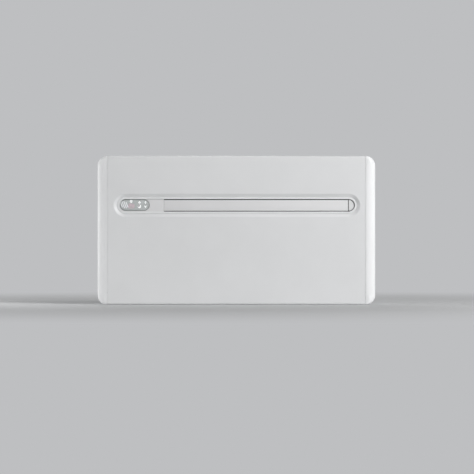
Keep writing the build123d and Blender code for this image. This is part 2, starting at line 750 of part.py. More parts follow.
def make_fan_motor():
    """Cross-flow fan motor with its flange on the right end plate."""
    x = air_x1 + sheet
    motor = rod_x(fan_d, fan_z, fan_motor_r, x, x + fan_motor_len)
    motor += rod_x(fan_d, fan_z, fan_motor_r + 6, x, x + 2)
    return motor - rod_x(fan_d, fan_z, shaft_r + run_fit, x - 1, x + 30)


def make_fan_bearing():
    """Bush for the fan's left shaft, pressed in the left end plate."""
    bearing = rod_x(fan_d, fan_z, bearing_r - press_fit, air_x0 - sheet - 2, air_x0 + 2)
    bearing += rod_x(fan_d, fan_z, bearing_r + 3, air_x0 - sheet - 2, air_x0 - sheet)
    return bearing - rod_x(fan_d, fan_z, shaft_r + run_fit, air_x0 - 10, air_x0 + 10)


def make_drain_hose():
    """Hose from the tray's stub down to the spigot in the base pan."""
    z = tray_z + 10
    route = [(air_x0 - 8, drain_d, z), (drain_x, drain_d, z), (drain_x, drain_d, -half_h + drain_len)]
    return pipe(route, drain_r + 1, 14.0, drain_r - 1)


def make_drain_spigot():
    """Drain outlet through the base pan, flush with the case's underside."""
    z0 = -half_h
    spigot = rod_z(drain_x, drain_d, drain_r + 2, z0, z0 + drain_len)
    spigot += rod_z(drain_x, drain_d, drain_r + 6, floor_z, floor_z + 3)
    return spigot - rod_z(drain_x, drain_d, drain_r, z0 - 1, z0 + drain_len + 1)


# Outdoor side

def ring_d(x, z, r_out, r_in, d0, d1):
    """A ring that points out of the wall."""
    return rod_d(x, z, r_out, d0, d1) - rod_d(x, z, r_in, d0 - 1, d1 + 1)


def duct_collar(x, d1):
    """Collar behind one wall hole, with a stepped flange for the gasket."""
    collar = ring_d(x, duct_z, duct_r + duct_wall, duct_r, gasket_t, d1)
    collar += ring_d(x, duct_z, duct_hole_r + flange_w, duct_r, gasket_t, gasket_t + 2)
    collar += ring_d(x, duct_z, duct_hole_r + flange_w, duct_hole_r, sheet, gasket_t + 2)
    return collar


def make_duct_gaskets():
    """Foam rings that seal both ducts to the wall."""
    rings = [ring_d(side * duct_x, duct_z, duct_hole_r - 0.5, duct_r, 0, gasket_t) for side in (-1, 1)]
    return Compound(children=rings)


def make_inlet_duct():
    """Straight collar that narrows to the radial fan's inlet."""
    straight_d, neck_d = 62.0, scroll_d - 2.0
    duct = duct_collar(-duct_x, straight_d)
    points = [(duct_r, straight_d), (neck_r, neck_d), (neck_r, scroll_d + 5), (neck_r + duct_wall, scroll_d + 5),
              (neck_r + duct_wall, neck_d), (duct_r + duct_wall, straight_d)]
    section = Plane.XY * face_of([(-duct_x + r, -d) for r, d in points])
    cone = revolve(section, axis=Axis((-duct_x, 0, 0), (0, 1, 0)))
    return duct + Pos(0, 0, duct_z) * cone


def spiral(shift):
    """Scroll outline, round the wheel and straight out to the plenum."""
    steps = 18
    points = []
    for i in range(steps + 1):
        angle = math.radians(270.0 * i / steps)
        gap = scroll_gap_start + (scroll_gap_end - scroll_gap_start) * i / steps
        r = wheel_r + gap + shift
        points.append((-duct_x + r * math.cos(angle), duct_z + r * math.sin(angle)))
    curve = Spline(*points)
    end_z = points[-1][1]
    close = Polyline(curve @ 1, (plenum_x0, end_z), (plenum_x0, points[0][1]), curve @ 0)
    return make_face(curve + close)


def make_fan_scroll():
    """Spiral housing round the radial fan, open towards the room side."""
    outer = extrude(Plane.XZ.offset(scroll_d) * spiral(shell_t), amount=cover_d - scroll_d, dir=out_dir)
    inner = extrude(Plane.XZ.offset(scroll_d + shell_t) * spiral(0), amount=cover_d, dir=out_dir)
    outlet = block(plenum_x0 - 1, plenum_x0 + 1, scroll_d + shell_t, cover_d, scroll_low_z, duct_z)
    scroll = outer - inner - outlet
    return scroll - rod_d(-duct_x, duct_z, neck_r + duct_wall + fit, scroll_d - 1, scroll_d + shell_t + 1)


cover_d = inner_d - shell_t
scroll_low_z = duct_z - wheel_r - scroll_gap_end


def make_air_cover():
    """Front of the scroll and the plenum box in front of the condenser."""
    cover = extrude(Plane.XZ.offset(cover_d) * spiral(shell_t), amount=shell_t, dir=out_dir)
    plenum = block(plenum_x0, cond_x1, scroll_d, inner_d, cond_z0, cond_z1)
    plenum -= block(plenum_x0 + shell_t, cond_x1 - shell_t, scroll_d + shell_t, cover_d,
                    cond_z0 + shell_t, cond_z1 - shell_t)
    plenum -= block(cond_x0 + shell_t, cond_x1 - shell_t, scroll_d - 1, scroll_d + shell_t + 1,
                    cond_z0 + shell_t, cond_z1 - shell_t)
    plenum -= block(plenum_x0 - 1, plenum_x0 + shell_t + 1, scroll_d + shell_t, cover_d,
                    scroll_low_z, duct_z)
    return cover + plenum


def make_radial_wheel():
    """Radial fan wheel with its motor cup and shaft."""
    x, z = -duct_x, duct_z
    d0, d1 = wheel_d0, cover_d - 8.0
    middle = Plane.XZ.offset(d0) * Pos(x, z)
    blades = Sketch() + [Rot(0, 0, 360 * i / wheel_blades) * blade(wheel_inner_r, wheel_r - 0.2, 9, -1.8, blade_t)
                         for i in range(wheel_blades)]
    wheel = extrude(middle * blades, amount=d1 - d0, dir=out_dir)
    wheel += ring_d(x, z, wheel_r, wheel_r - 6, d0, d0 + 2)
    wheel += ring_d(x, z, wheel_r, wheel_hub_r - 2, d1 - 2, d1)
    cup_d = d1 - wheel_cup_d
    wheel += ring_d(x, z, wheel_hub_r, wheel_hub_r - 2, cup_d, d1)
    wheel += rod_d(x, z, wheel_hub_r, cup_d, cup_d + 2)
    return wheel + rod_d(x, z, shaft_r, cup_d + 1, d1 + 3)


def make_radial_motor():
    """Flat motor inside the wheel's cup, on the air cover."""
    x, z = -duct_x, duct_z
    d1 = cover_d - 8.0
    d0 = d1 - wheel_cup_d + 5.0
    motor = rod_d(x, z, wheel_motor_r, d0, cover_d)
    return motor - rod_d(x, z, shaft_r + run_fit, d0 - 1, d1 + 4)


def make_condenser_fins():
    """Upright fin pack of the condenser."""
    gap = shell_t + fit
    length = cond_x1 - cond_x0 - 2 * gap
    outline = comb(length, cond_d1 - cond_d0 - 2.0, 2.0, fin_pitch, fin_t)
    middle_d = (cond_d0 + cond_d1) / 2
    placed = Plane.XY.offset(cond_z0 + gap) * Pos(cond_x0 + gap, -middle_d) * outline
    return extrude(placed, amount=cond_z1 - cond_z0 - 2 * gap, dir=(0, 0, 1))


def make_condenser_frame():
    """Sheet frame round the condenser."""
    frame = block(cond_x0, cond_x1, cond_d0, cond_d1, cond_z0, cond_z1)
    return frame - block(cond_x0 + shell_t, cond_x1 - shell_t, cond_d0 - 1, cond_d1 + 1,
                         cond_z0 + shell_t, cond_z1 - shell_t)


cond_tubes = 2 * int(((cond_z1 - cond_z0 - 24.0) // tube_pitch + 1) // 2)


def cond_tube(row, i):
    """Middle of one condenser tube's right end: row 0 is nearer the wall, tube 0 is lowest."""
    d = (cond_d0 + 7, cond_d1 - 7)[row]
    first = (cond_z0 + cond_z1) / 2 - (cond_tubes - 1) / 2 * tube_pitch
    return (cond_x1, -d, first + i * tube_pitch)


def make_condenser_bends():
    """Return bends at the right end, leaving the top tubes free for the pipes."""
    bends = [u_bend(cond_tube(0, 0), cond_tube(1, 0), (1, 0, 0), tube_r)]
    for row in (0, 1):
        for i in range(1, cond_tubes - 1, 2):
            bends.append(u_bend(cond_tube(row, i), cond_tube(row, i + 1), (1, 0, 0), tube_r))
    return Compound(children=bends)


def make_exhaust_duct():
    """Hood behind the condenser with a round collar to the wall."""
    duct = block(cond_x0, cond_x1, hood_d, cond_d0, cond_z0, cond_z1)
    duct -= block(cond_x0 + shell_t, cond_x1 - shell_t, hood_d + shell_t, cond_d0 + 1,
                  cond_z0 + shell_t, cond_z1 - shell_t)
    duct -= rod_d(duct_x, duct_z, duct_r, hood_d - 1, hood_d + shell_t + 1)
    return duct + duct_collar(duct_x, hood_d)


def foot_points():
    """Middles of the compressor's three feet."""
    return [(comp_x + foot_circle_r * math.sin(math.radians(a)), comp_d + foot_circle_r * math.cos(math.radians(a)))
            for a in (90, 210, 330)]


def make_compressor():
    """Rotary compressor with domed ends, three-cornered foot plate and accumulator."""
    body = rod_z(comp_x, comp_d, comp_r, comp_z0 + 3, comp_z1)
    body = fillet(body.faces().sort_by(Axis.Z)[-1].edges(), 22.0)
    corners = [Pos(x, -d) * Circle(foot_r + 3) for x, d in foot_points()]
    outline = make_hull(sum((c.edges() for c in corners), ShapeList()))
    plate = extrude(Plane.XY.offset(comp_z0) * outline, amount=3.0, dir=(0, 0, 1))
    for x, d in foot_points():
        plate -= rod_z(x, d, 3.3, comp_z0 - 1, comp_z0 + 5)
    accu = rod_z(accu_x, accu_d, accu_r, accu_z0, accu_z1)
    accu = fillet(accu.faces().sort_by(Axis.Z)[-1].edges() + accu.faces().sort_by(Axis.Z)[0].edges(), 9.0)
    strap_z = (accu_z0 + accu_z1 - strap_h) / 2
    strap = block(comp_x, accu_x, accu_d - 6, accu_d + 6, strap_z, strap_z + strap_h)
    return body + plate + accu + strap


def make_compressor_feet():
    """Rubber grommets between foot plate and base pan."""
    feet = []
    for x, d in foot_points():
        feet.append(rod_z(x, d, foot_r, floor_z, comp_z0) - rod_z(x, d, 3.3, floor_z - 1, comp_z0 + 1))
    return Compound(children=feet)


def make_compressor_nuts():
    """Studs on the base pan with their nuts."""
    bolts = []
    for x, d in foot_points():
        nut = extrude(Plane.XY.offset(comp_z0 + 3) * Pos(x, -d) * RegularPolygon(5.5, 6), amount=4.5)
        bolts.append(nut + rod_z(x, d, 3.0, floor_z, comp_z0 + 12))
    return Compound(children=bolts)


def make_suction_pipe():
    """Evaporator to accumulator."""
    start = coil_tube(air_x1 + sheet, coil_rows[0], coil_tubes - 1)
    x = accu_x - 4
    route = [(start.X, -start.Y, start.Z), (x, -start.Y, start.Z), (x, suction_d, start.Z - 60),
             (x, suction_d, divider_z - 20), (accu_x, accu_d, comp_z1), (accu_x, accu_d, accu_z1)]
    return pipe(route, suction_r, bend_r)


def make_discharge_pipe():
    """Compressor top to the condenser's upper end."""
    top = comp_z1 + 30
    x = cond_x1 + 11.0
    end = cond_tube(1, cond_tubes - 1)
    d, z = -end[1], end[2]
    route = [(comp_x, comp_d, comp_z1), (comp_x, comp_d, top), (x, d, top), (x, d, z), (cond_x1, d, z)]
    return pipe(route, pipe_r, 6.0)


def make_liquid_pipe():
    """Condenser through the drier and up to the evaporator."""
    start = cond_tube(0, cond_tubes - 1)
    end = coil_tube(air_x1 + sheet, coil_rows[1], coil_tubes - 1)
    d, z = -start[1], start[2]
    x, low_d = cond_x1 + 11.0, 13.0
    route = [(cond_x1, d, z), (x, d, z), (x, low_d, z), (liquid_x, low_d, z), (liquid_x, liquid_d, z + 45),
             (liquid_x, liquid_d, end.Z - 40), (liquid_x, -end.Y, end.Z), (end.X, -end.Y, end.Z)]
    drier = rod_x(low_d, z, drier_r, comp_x - drier_len / 2, comp_x + drier_len / 2)
    return pipe(route, pipe_r - 1, 6.0) + drier


# Electrics

def make_control_box():
    """Open sheet box for the electrics, on the left side frame."""
    box = block(-side_x, ebox_x1, ebox_d0, ebox_d1, ebox_z0, ebox_z1)
    box -= block(-side_x + sheet, ebox_x1 - sheet, ebox_d0 + sheet, ebox_d1 + 1, ebox_z0 + sheet, ebox_z1 - sheet)
    for x, z in board_corners():
        box += rod_d(x, z, 3.0, ebox_d0, ebox_d0 + 10.0)
    return box


def board_corners():
    """Middles of the control board's four stand-offs."""
    x0, x1 = -side_x + board_margin, ebox_x1 - board_margin
    z0, z1 = ebox_z0 + board_rise, ebox_z1 - board_margin
    return [(x0, z0), (x1, z0), (x0, z1), (x1, z1)]


def make_control_cover():
    """Lid of the control box."""
    return block(-side_x, ebox_x1, ebox_d1, ebox_d1 + sheet, ebox_z0, ebox_z1)


def make_control_board():
    """Power board with its heat sink, relays and chokes."""
    (x0, z0), (x1, z1) = board_corners()[0], board_corners()[3]
    d0 = ebox_d0 + 10.0
    board = block(x0 - 5, x1 + 5, d0, d0 + board_t, z0 - 5, z1 + 5)
    front = d0 + board_t / 2
    board += block(x0 + 8, x0 + 8 + sink_w, front, d0 + 34, z1 - 20 - sink_h, z1 - 20)
    for z in (z0 + 20, z0 + 27 + relay_h):
        board += block(x0 + 55, x0 + 55 + relay_w, front, d0 + 18, z, z + relay_h)
    board += rod_d(x1 - 18, z1 - 24, 12.0, front, d0 + 40)
    return board


def make_run_capacitor():
    """Upright motor capacitor on the box's floor."""
    return rod_z(ebox_x1 - sheet - 22.0, ebox_d0 + 90.0, 19.0, ebox_z0 + sheet, ebox_z0 + 75.0)


def make_terminal_block():
    """Mains terminals at the bottom of the control box."""
    z0 = ebox_z0 + sheet
    x0 = -side_x + 20.0
    terminals = block(x0, x0 + 60, ebox_d0 + 46, ebox_d0 + 66, z0, z0 + 16)
    for i in range(5):
        x = x0 + 8 + 11 * i
        terminals -= rod_z(x, ebox_d0 + 56, 3.0, z0 + 8, z0 + 20)
    return terminals


def make_cable_gland():
    """Mains cable inlet through the back plate."""
    gland = rod_d(gland_x, gland_z, gland_r + 3, 0, 24.0)
    gland += extrude(Plane.XZ.offset(sheet) * Pos(gland_x, gland_z) * RegularPolygon(gland_r + 7, 6), amount=5.0)
    return gland - rod_d(gland_x, gland_z, gland_r, -1, 25)


def build_nodes():
    """Every sub-part by name."""
    (left_x0, left_x1), (right_x0, right_x1) = grille_openings()
    return {
        "front_panel": make_front_panel(),
        "side_cap_left": make_side_cap(-1),
        "side_cap_right": make_side_cap(1),
        "foam_mat": make_foam_mat(),
        "casing_screws": make_casing_screws(),
        "top_panel": make_top_panel(),
        "grille_left": make_grille_insert(left_x0, left_x1),
        "grille_right": make_grille_insert(right_x0, right_x1),
        "filter_left": make_filter(left_x0, left_x1),
        "filter_right": make_filter(right_x0, right_x1),
        "back_plate": make_back_plate(),
        "base_pan": make_base_pan(),
        "side_frame_left": make_side_frame(-1),
        "side_frame_right": make_side_frame(1),
        "divider": make_divider(),
        "wall_rail": make_wall_rail(),
        "hang_hooks": make_hang_hooks(),
        "outlet_frame": make_outlet_frame(),
        "outlet_flap": make_outlet_flap(),
        "flap_shaft": make_flap_shaft(),
        "flap_motor": make_flap_motor(),
        "flap_bush": make_flap_bush(),
        "flap_end_cover": make_end_cover(),
        "display_window": make_display_window(),
        "display_board": make_display_board(),
        "outlet_guard": make_outlet_guard(),
        "air_end_left": make_air_end(-1),
        "air_end_right": make_air_end(1),
        "rear_air_guide": make_air_guide(),
        "drain_tray": make_drain_tray(),
        "evaporator_fins": make_evaporator_fins(),
        "evaporator_bends": make_evaporator_bends(),
        "crossflow_rotor": make_fan_rotor(),
        "crossflow_motor": make_fan_motor(),
        "crossflow_bearing": make_fan_bearing(),
        "drain_hose": make_drain_hose(),
        "drain_spigot": make_drain_spigot(),
        "duct_gaskets": make_duct_gaskets(),
        "inlet_duct": make_inlet_duct(),
        "exhaust_duct": make_exhaust_duct(),
        "fan_scroll": make_fan_scroll(),
        "air_cover": make_air_cover(),
        "radial_wheel": make_radial_wheel(),
        "radial_motor": make_radial_motor(),
        "condenser_fins": make_condenser_fins(),
        "condenser_frame": make_condenser_frame(),
        "condenser_bends": make_condenser_bends(),
        "compressor": make_compressor(),
        "compressor_feet": make_compressor_feet(),
        "compressor_nuts": make_compressor_nuts(),
        "suction_pipe": make_suction_pipe(),
        "discharge_pipe": make_discharge_pipe(),
        "liquid_pipe": make_liquid_pipe(),
        "control_box": make_control_box(),
        "control_cover": make_control_cover(),
        "control_board": make_control_board(),
        "run_capacitor": make_run_capacitor(),
        "terminal_block": make_terminal_block(),
        "cable_gland": make_cable_gland(),
    }


os.makedirs("parts", exist_ok=True)
for name, shape in build_nodes().items():
    export_step(shape, f"parts/{name}.step")
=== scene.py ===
# %% [markdown]
# # A one-box air conditioner for the wall
# The object is a flat white case, about one metre wide, with a pressed sheet front, moulded side
# caps, and one long round-ended slot that holds a display and a tilting air flap. The solids come
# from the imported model, which is in metres with the wall at Y = 0 and the room at negative Y.
# This lesson dresses them: it builds the surfaces that the eye meets, and paints everything.

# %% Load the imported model
import math
import bpy
import bmesh
import numpy as np
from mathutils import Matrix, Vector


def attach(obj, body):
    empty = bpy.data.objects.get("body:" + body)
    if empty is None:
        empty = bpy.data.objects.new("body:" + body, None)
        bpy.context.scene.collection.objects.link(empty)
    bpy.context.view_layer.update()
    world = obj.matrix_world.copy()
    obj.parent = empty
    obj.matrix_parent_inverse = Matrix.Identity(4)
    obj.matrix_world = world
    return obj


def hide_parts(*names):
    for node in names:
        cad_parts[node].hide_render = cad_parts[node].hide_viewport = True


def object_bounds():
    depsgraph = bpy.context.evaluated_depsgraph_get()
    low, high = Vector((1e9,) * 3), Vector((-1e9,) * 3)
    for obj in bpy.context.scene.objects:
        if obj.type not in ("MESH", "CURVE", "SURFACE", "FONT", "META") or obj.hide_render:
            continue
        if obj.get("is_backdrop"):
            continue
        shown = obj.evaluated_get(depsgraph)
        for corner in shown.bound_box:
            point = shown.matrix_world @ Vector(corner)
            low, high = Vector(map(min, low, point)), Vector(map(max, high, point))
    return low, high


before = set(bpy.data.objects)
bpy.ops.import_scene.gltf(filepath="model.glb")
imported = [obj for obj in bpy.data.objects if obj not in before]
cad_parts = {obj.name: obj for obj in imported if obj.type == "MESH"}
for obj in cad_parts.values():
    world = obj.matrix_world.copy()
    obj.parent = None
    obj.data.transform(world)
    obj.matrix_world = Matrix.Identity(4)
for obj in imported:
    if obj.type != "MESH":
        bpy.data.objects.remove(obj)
cad_low, cad_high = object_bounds()
print("nodes:", len(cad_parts), "box:", [round(v, 3) for v in (*cad_low, *cad_high)])

# %% [markdown]
# ## Camera
# The picture was taken straight on and level, from far enough away that the sides don't show. A
# long lens nine metres in front of the case gives the same view.

# %% Camera
camera = bpy.data.objects.new("camera", bpy.data.cameras.new("camera"))
bpy.context.scene.collection.objects.link(camera)
camera.data.sensor_width = 36.0
camera.data.lens = 188.3
camera.location = (0.0021, -9.165, -0.0242)
camera.rotation_euler = (math.pi / 2, 0.0, 0.0)
bpy.context.scene.camera = camera
bpy.context.scene.view_settings.view_transform = "Standard"
print("camera at", tuple(camera.location), "lens", camera.data.lens)

# %% [markdown]
# ## Colours and shader nodes
# Colours are written as sRGB hex values, as on a paint chart, and turned into the linear values
# that shaders take. `add` makes one shader node, and every material below is built with it.


# %% Colours and shader nodes
def colour(hex_value):
    """An sRGB hex value as the linear colour that Blender's shaders take."""
    srgb = np.array([int(hex_value[i:i + 2], 16) for i in (1, 3, 5)]) / 255
    linear = np.where(srgb <= 0.04045, srgb / 12.92, ((srgb + 0.055) / 1.055) ** 2.4)
    return (*linear.tolist(), 1.0)


def add(tree, kind, inputs=None, **settings):
    """Adds one shader node. Settings are its own choices, and inputs are values or other sockets."""
    made = tree.nodes.new(kind)
    for key, value in settings.items():
        setattr(made, key, value)
    for key, value in (inputs or {}).items():
        if isinstance(value, bpy.types.NodeSocket):
            tree.links.new(value, made.inputs[key])
        else:
            made.inputs[key].default_value = value
    return made


def looked_at(tree):
    """1 for a ray that shows what it meets, and 0 for a ray that only carries light."""
    rays = add(tree, "ShaderNodeLightPath")
    seen = rays.outputs["Is Camera Ray"]
    for kind in ("Is Glossy Ray", "Is Transmission Ray"):
        either = add(tree, "ShaderNodeMath", {0: seen, 1: rays.outputs[kind]}, operation="MAXIMUM")
        seen = either.outputs[0]
    return seen


MM = 0.001
BACKGROUND = colour("#BEBFC1")
print("background", [round(v, 3) for v in BACKGROUND])

# %% [markdown]
# ## Light
# The world gives a weak even light, and looks pale grey wherever it is seen. Seven soft boxes do the
# rest. The key stands to the right, the high one draws the recess's edges from above, and the
# others lift the sides, the top and the back.

# %% World
world = bpy.data.worlds.new("studio")
bpy.context.scene.world = world
world.use_nodes = True
tree = world.node_tree
tree.nodes.clear()
soft = add(tree, "ShaderNodeBackground", {"Color": colour("#FFFFFF"), "Strength": 0.15})
plain = add(tree, "ShaderNodeBackground", {"Color": BACKGROUND, "Strength": 1.0})
mixed = add(tree, "ShaderNodeMixShader", {0: looked_at(tree), 1: soft.outputs[0], 2: plain.outputs[0]})
add(tree, "ShaderNodeOutputWorld", {"Surface": mixed.outputs[0]})
print("world ready")


# %% Lamps
def softbox(name, place, target, width, height, watts):
    """A rectangular area lamp that points from its place at a target."""
    lamp = bpy.data.lights.new(name, "AREA")
    lamp.shape, lamp.size, lamp.size_y, lamp.energy = "RECTANGLE", width, height, watts
    holder = bpy.data.objects.new(name, lamp)
    bpy.context.scene.collection.objects.link(holder)
    holder.location = place
    aim = np.array(target, float) - np.array(place, float)
    holder.rotation_euler = (math.acos(-aim[2] / np.linalg.norm(aim)), 0.0,
                             math.atan2(aim[1], aim[0]) - math.pi / 2)


softbox("key", (3.4, -2.7, 1.7), (0.0, 0.0, 0.0), 2.4, 2.0, 105.0)
softbox("high", (4.6, -4.6, 7.0), (0.0, 0.0, 0.0), 2.4, 1.2, 190.0)
softbox("fill", (-2.2, -2.8, 0.8), (0.0, 0.0, 0.0), 1.8, 1.2, 7.6)
softbox("right", (1.6, -0.3, 0.1), (0.4, -0.15, 0.0), 0.4, 0.8, 1.3)
softbox("left", (-1.5, -0.1, 0.1), (-0.5, -0.1, 0.0), 0.3, 0.8, 6.2)
softbox("overhead", (0.0, -0.12, 1.6), (0.0, -0.12, 0.0), 1.6, 0.3, 2.4)
softbox("rear", (-0.6, 2.6, 1.6), (0.0, 0.0, 0.0), 1.8, 1.4, 24.0)
print("lamps ready")

# %% [markdown]
# ## Floor
# The floor is one round sheet, built from rings of points. Near the object it is a matt surface
# that takes its shadow. Further out it turns into the plain background colour for the camera, so
# that no horizon shows. To light that bounces off it the floor is a little paler, so the lower edge
# of the case isn't dull.


# %% Floor
def quads(rows, columns, round_rows=False, round_columns=False):
    """Faces between neighbouring points of a grid, with one or both ways closed into a ring."""
    r = np.arange(rows if round_rows else rows - 1)[:, None]
    c = np.arange(columns if round_columns else columns - 1)[None, :]
    r_next, c_next = (r + 1) % rows, (c + 1) % columns
    corners = (r * columns + c, r * columns + c_next, r_next * columns + c_next, r_next * columns + c)
    return np.stack(np.broadcast_arrays(*corners), axis=-1).reshape(-1, 4)


FLOOR_MIDDLE_Y = -0.08
FADE_START, FADE_END = 0.7, 2.3
turn = np.linspace(0, 2 * np.pi, 96, endpoint=False)
radius = np.array([0.02, 0.4, 1.0, 2.0, 4.0, 9.0])[:, None]
flat = np.full((len(radius), len(turn)), cad_low[2])
rings = np.stack([radius * np.cos(turn), radius * np.sin(turn) + FLOOR_MIDDLE_Y, flat], axis=-1)
faces = quads(len(radius), len(turn), round_columns=True).tolist() + [list(range(len(turn)))]
floor_mesh = bpy.data.meshes.new("floor")
floor_mesh.from_pydata(rings.reshape(-1, 3).tolist(), [], faces)
floor_mesh.update()
floor = bpy.data.objects.new("floor", floor_mesh)
bpy.context.scene.collection.objects.link(floor)
floor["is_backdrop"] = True

paper = bpy.data.materials.new("matt floor paper")
paper.use_nodes = True
tree = paper.node_tree
tree.nodes.clear()
place = add(tree, "ShaderNodeTexCoord")
away = add(tree, "ShaderNodeVectorMath", {0: place.outputs["Object"]}, operation="LENGTH")
fade = add(tree, "ShaderNodeMapRange", {"Value": away.outputs["Value"], "From Min": FADE_START,
                                        "From Max": FADE_END}, interpolation_type="SMOOTHSTEP")
seen = looked_at(tree)
share = add(tree, "ShaderNodeMath", {0: fade.outputs[0], 1: seen}, operation="MULTIPLY")
tone = add(tree, "ShaderNodeMix", {0: seen, 6: colour("#EAEAEA"), 7: colour("#C5C6C7")}, data_type="RGBA")
matt = add(tree, "ShaderNodeBsdfDiffuse", {"Color": tone.outputs[2]})
plain = add(tree, "ShaderNodeEmission", {"Color": BACKGROUND, "Strength": 1.0})
mixed = add(tree, "ShaderNodeMixShader", {0: share.outputs[0], 1: matt.outputs[0], 2: plain.outputs[0]})
add(tree, "ShaderNodeOutputMaterial", {"Surface": mixed.outputs[0]})
floor_mesh.materials.append(paper)
print("floor rings:", rings.shape)


# %% [markdown]
# ## Finishes
# Each finish starts from what the real surface is. `finish` makes a material with one shader whose
# plain values sit on its own sockets. `grain` adds a fine bump and a slight change of colour, both
# from noise whose size is given in millimetres.

# %% Material helpers
def finish(name, base, rough, metal=0.0, **sockets):
    """A new material with one principled shader, named for the real finish."""
    made = bpy.data.materials.new(name)
    made.use_nodes = True
    made.node_tree.nodes.clear()
    shader = add(made.node_tree, "ShaderNodeBsdfPrincipled",
                 {"Base Color": colour(base), "Roughness": rough, "Metallic": metal, **sockets})
    add(made.node_tree, "ShaderNodeOutputMaterial", {"Surface": shader.outputs[0]})
    return made


def parts_of(material):
    """The node tree of a finish and its shader."""
    tree = material.node_tree
    return tree, next(n for n in tree.nodes if n.type == "BSDF_PRINCIPLED")


def tint(material, field, low, high, start=0.35, end=0.65):
    """Colours a finish between two hex values by a field between 0 and 1."""
    tree, shader = parts_of(material)
    spread = add(tree, "ShaderNodeMapRange", {"Value": field, "From Min": start, "From Max": end})
    mix = add(tree, "ShaderNodeMix", {0: spread.outputs[0], 6: colour(low), 7: colour(high)},
              data_type="RGBA")
    tree.links.new(mix.outputs[2], shader.inputs["Base Color"])


def grain(material, size_mm, depth_mm, low, high, patch_mm, stretch=(1, 1, 1)):
    """Noise bump with bumps of one size, and a slow change between two colours over larger patches."""
    tree, shader = parts_of(material)
    place = add(tree, "ShaderNodeTexCoord")
    spread = add(tree, "ShaderNodeMapping", {"Vector": place.outputs["Object"], "Scale": stretch})
    fine = add(tree, "ShaderNodeTexNoise", {"Vector": spread.outputs[0], "Scale": 1000.0 / size_mm,
                                            "Detail": 2.0})
    bump = add(tree, "ShaderNodeBump", {"Height": fine.outputs[0], "Distance": depth_mm * MM})
    tree.links.new(bump.outputs[0], shader.inputs["Normal"])
    slow = add(tree, "ShaderNodeTexNoise", {"Vector": place.outputs["Object"],
                                            "Scale": 1000.0 / patch_mm, "Detail": 3.0})
    tint(material, slow.outputs[0], low, high)
    return material


print("helpers ready")

# %% [markdown]
# **White finishes.** The front is folded steel sheet with a baked powder coat: satin, with the
# faint waves called orange peel, about 2.5 mm from crest to crest. The caps, flap and grilles are
# moulded ABS with a spark-eroded texture of about half a millimetre, a little less glossy.

# %% White powder coat and ABS
powder_coat = grain(finish("satin powder coat on steel sheet", "#E6E7E8", 0.42), 2.5, 0.012,
                    "#E5E6E7", "#E7E8E9", 120.0)
white_abs = grain(finish("moulded white ABS, spark-eroded texture", "#EDEEEF", 0.55), 0.6, 0.008,
                  "#ECEDEE", "#EEEFF0", 90.0)
flap_abs = grain(finish("moulded white ABS, smooth", "#E6E6E7", 0.36), 0.8, 0.004,
                 "#E5E5E6", "#E7E7E8", 90.0)
dark_abs = grain(finish("moulded charcoal ABS", "#4A4C4F", 0.5), 0.8, 0.008, "#46484B", "#4E5053", 40.0)
print("white finishes ready")

# %% [markdown]
# **Metals.** Galvanised sheet shows spangle: zinc crystals, here about 7 mm across, each with its
# own brightness. Motor cans are drawn steel, screws are zinc-plated, fins are thin aluminium and
# the refrigerant pipes are soft copper with a thin brown tarnish.

# %% Galvanised sheet
galvanised = finish("galvanised sheet with spangle", "#B9BDC0", 0.42, 1.0)
tree, shader = parts_of(galvanised)
place = add(tree, "ShaderNodeTexCoord")
crystal = add(tree, "ShaderNodeTexVoronoi", {"Vector": place.outputs["Object"], "Scale": 1000.0 / 7.0})
level = add(tree, "ShaderNodeSeparateColor", {0: crystal.outputs["Color"]})
tint(galvanised, level.outputs[0], "#B1B5B8", "#C6CACD", 0.0, 1.0)
dull = add(tree, "ShaderNodeMapRange", {"Value": level.outputs[1], "To Min": 0.34, "To Max": 0.52})
tree.links.new(dull.outputs[0], shader.inputs["Roughness"])
print("galvanised ready")

# %% Other metals
drawn_steel = grain(finish("drawn steel can, zinc flash", "#A3A6A8", 0.36, 1.0), 1.2, 0.006,
                    "#9A9DA0", "#ACAFB1", 30.0, stretch=(0.2, 1, 1))
zinc_screw = grain(finish("zinc-plated steel", "#B5B8BA", 0.3, 1.0), 0.5, 0.003,
                   "#AEB1B0", "#BDC0C3", 6.0)
fin_sheet = grain(finish("bare aluminium fin stock", "#C9CDD0", 0.34, 1.0), 2.0, 0.02,
                  "#BFC4C7", "#D2D5D8", 25.0)
copper = grain(finish("soft copper tube, thin tarnish", "#B8735A", 0.32, 1.0), 3.0, 0.01,
               "#8F5240", "#C98468", 18.0)
can_paint = grain(finish("black baked enamel", "#17181A", 0.3, **{"Coat Weight": 0.3}), 3.5, 0.03,
                  "#141517", "#1D1E20", 40.0)
print("metals ready")

# %% [markdown]
# **Plastics, foam and rubber.** The ducts and the fan housing are grey polypropylene, the fans
# black glass-filled plastic, the air guides white expanded polystyrene whose beads are about 4 mm,
# and the seals and the noise mat dark open foam.

# %% Plastics
grey_pp = grain(finish("moulded grey polypropylene", "#8D9093", 0.5), 1.0, 0.02,
                "#86898C", "#94979A", 50.0)
black_pp = grain(finish("black glass-filled plastic", "#1F2022", 0.46), 0.8, 0.015,
                 "#1A1B1D", "#262729", 30.0)
acetal = grain(finish("turned acetal", "#DEDBCB", 0.35), 0.7, 0.004, "#D9D6C6", "#E2DFD0", 12.0)
rubber = grain(finish("black rubber", "#1B1B1B", 0.75), 0.9, 0.02, "#171717", "#222222", 15.0)
can_plastic = grain(finish("cream plastic can", "#DAD9D0", 0.34), 1.5, 0.006, "#D5D4CA", "#DFDED6", 30.0)
hose_pvc = grain(finish("soft grey drain hose", "#C3C5C6", 0.45), 1.2, 0.01, "#BBBDBE", "#CBCDCE", 25.0)
print("plastics ready")

# %% [markdown]
# **Filter net.** The threads of a real net are too fine to show, so its crossed bands are drawn
# 7.54 mm apart. A wave texture runs through 20 radians in a unit, so 41.67 is the scale for that.

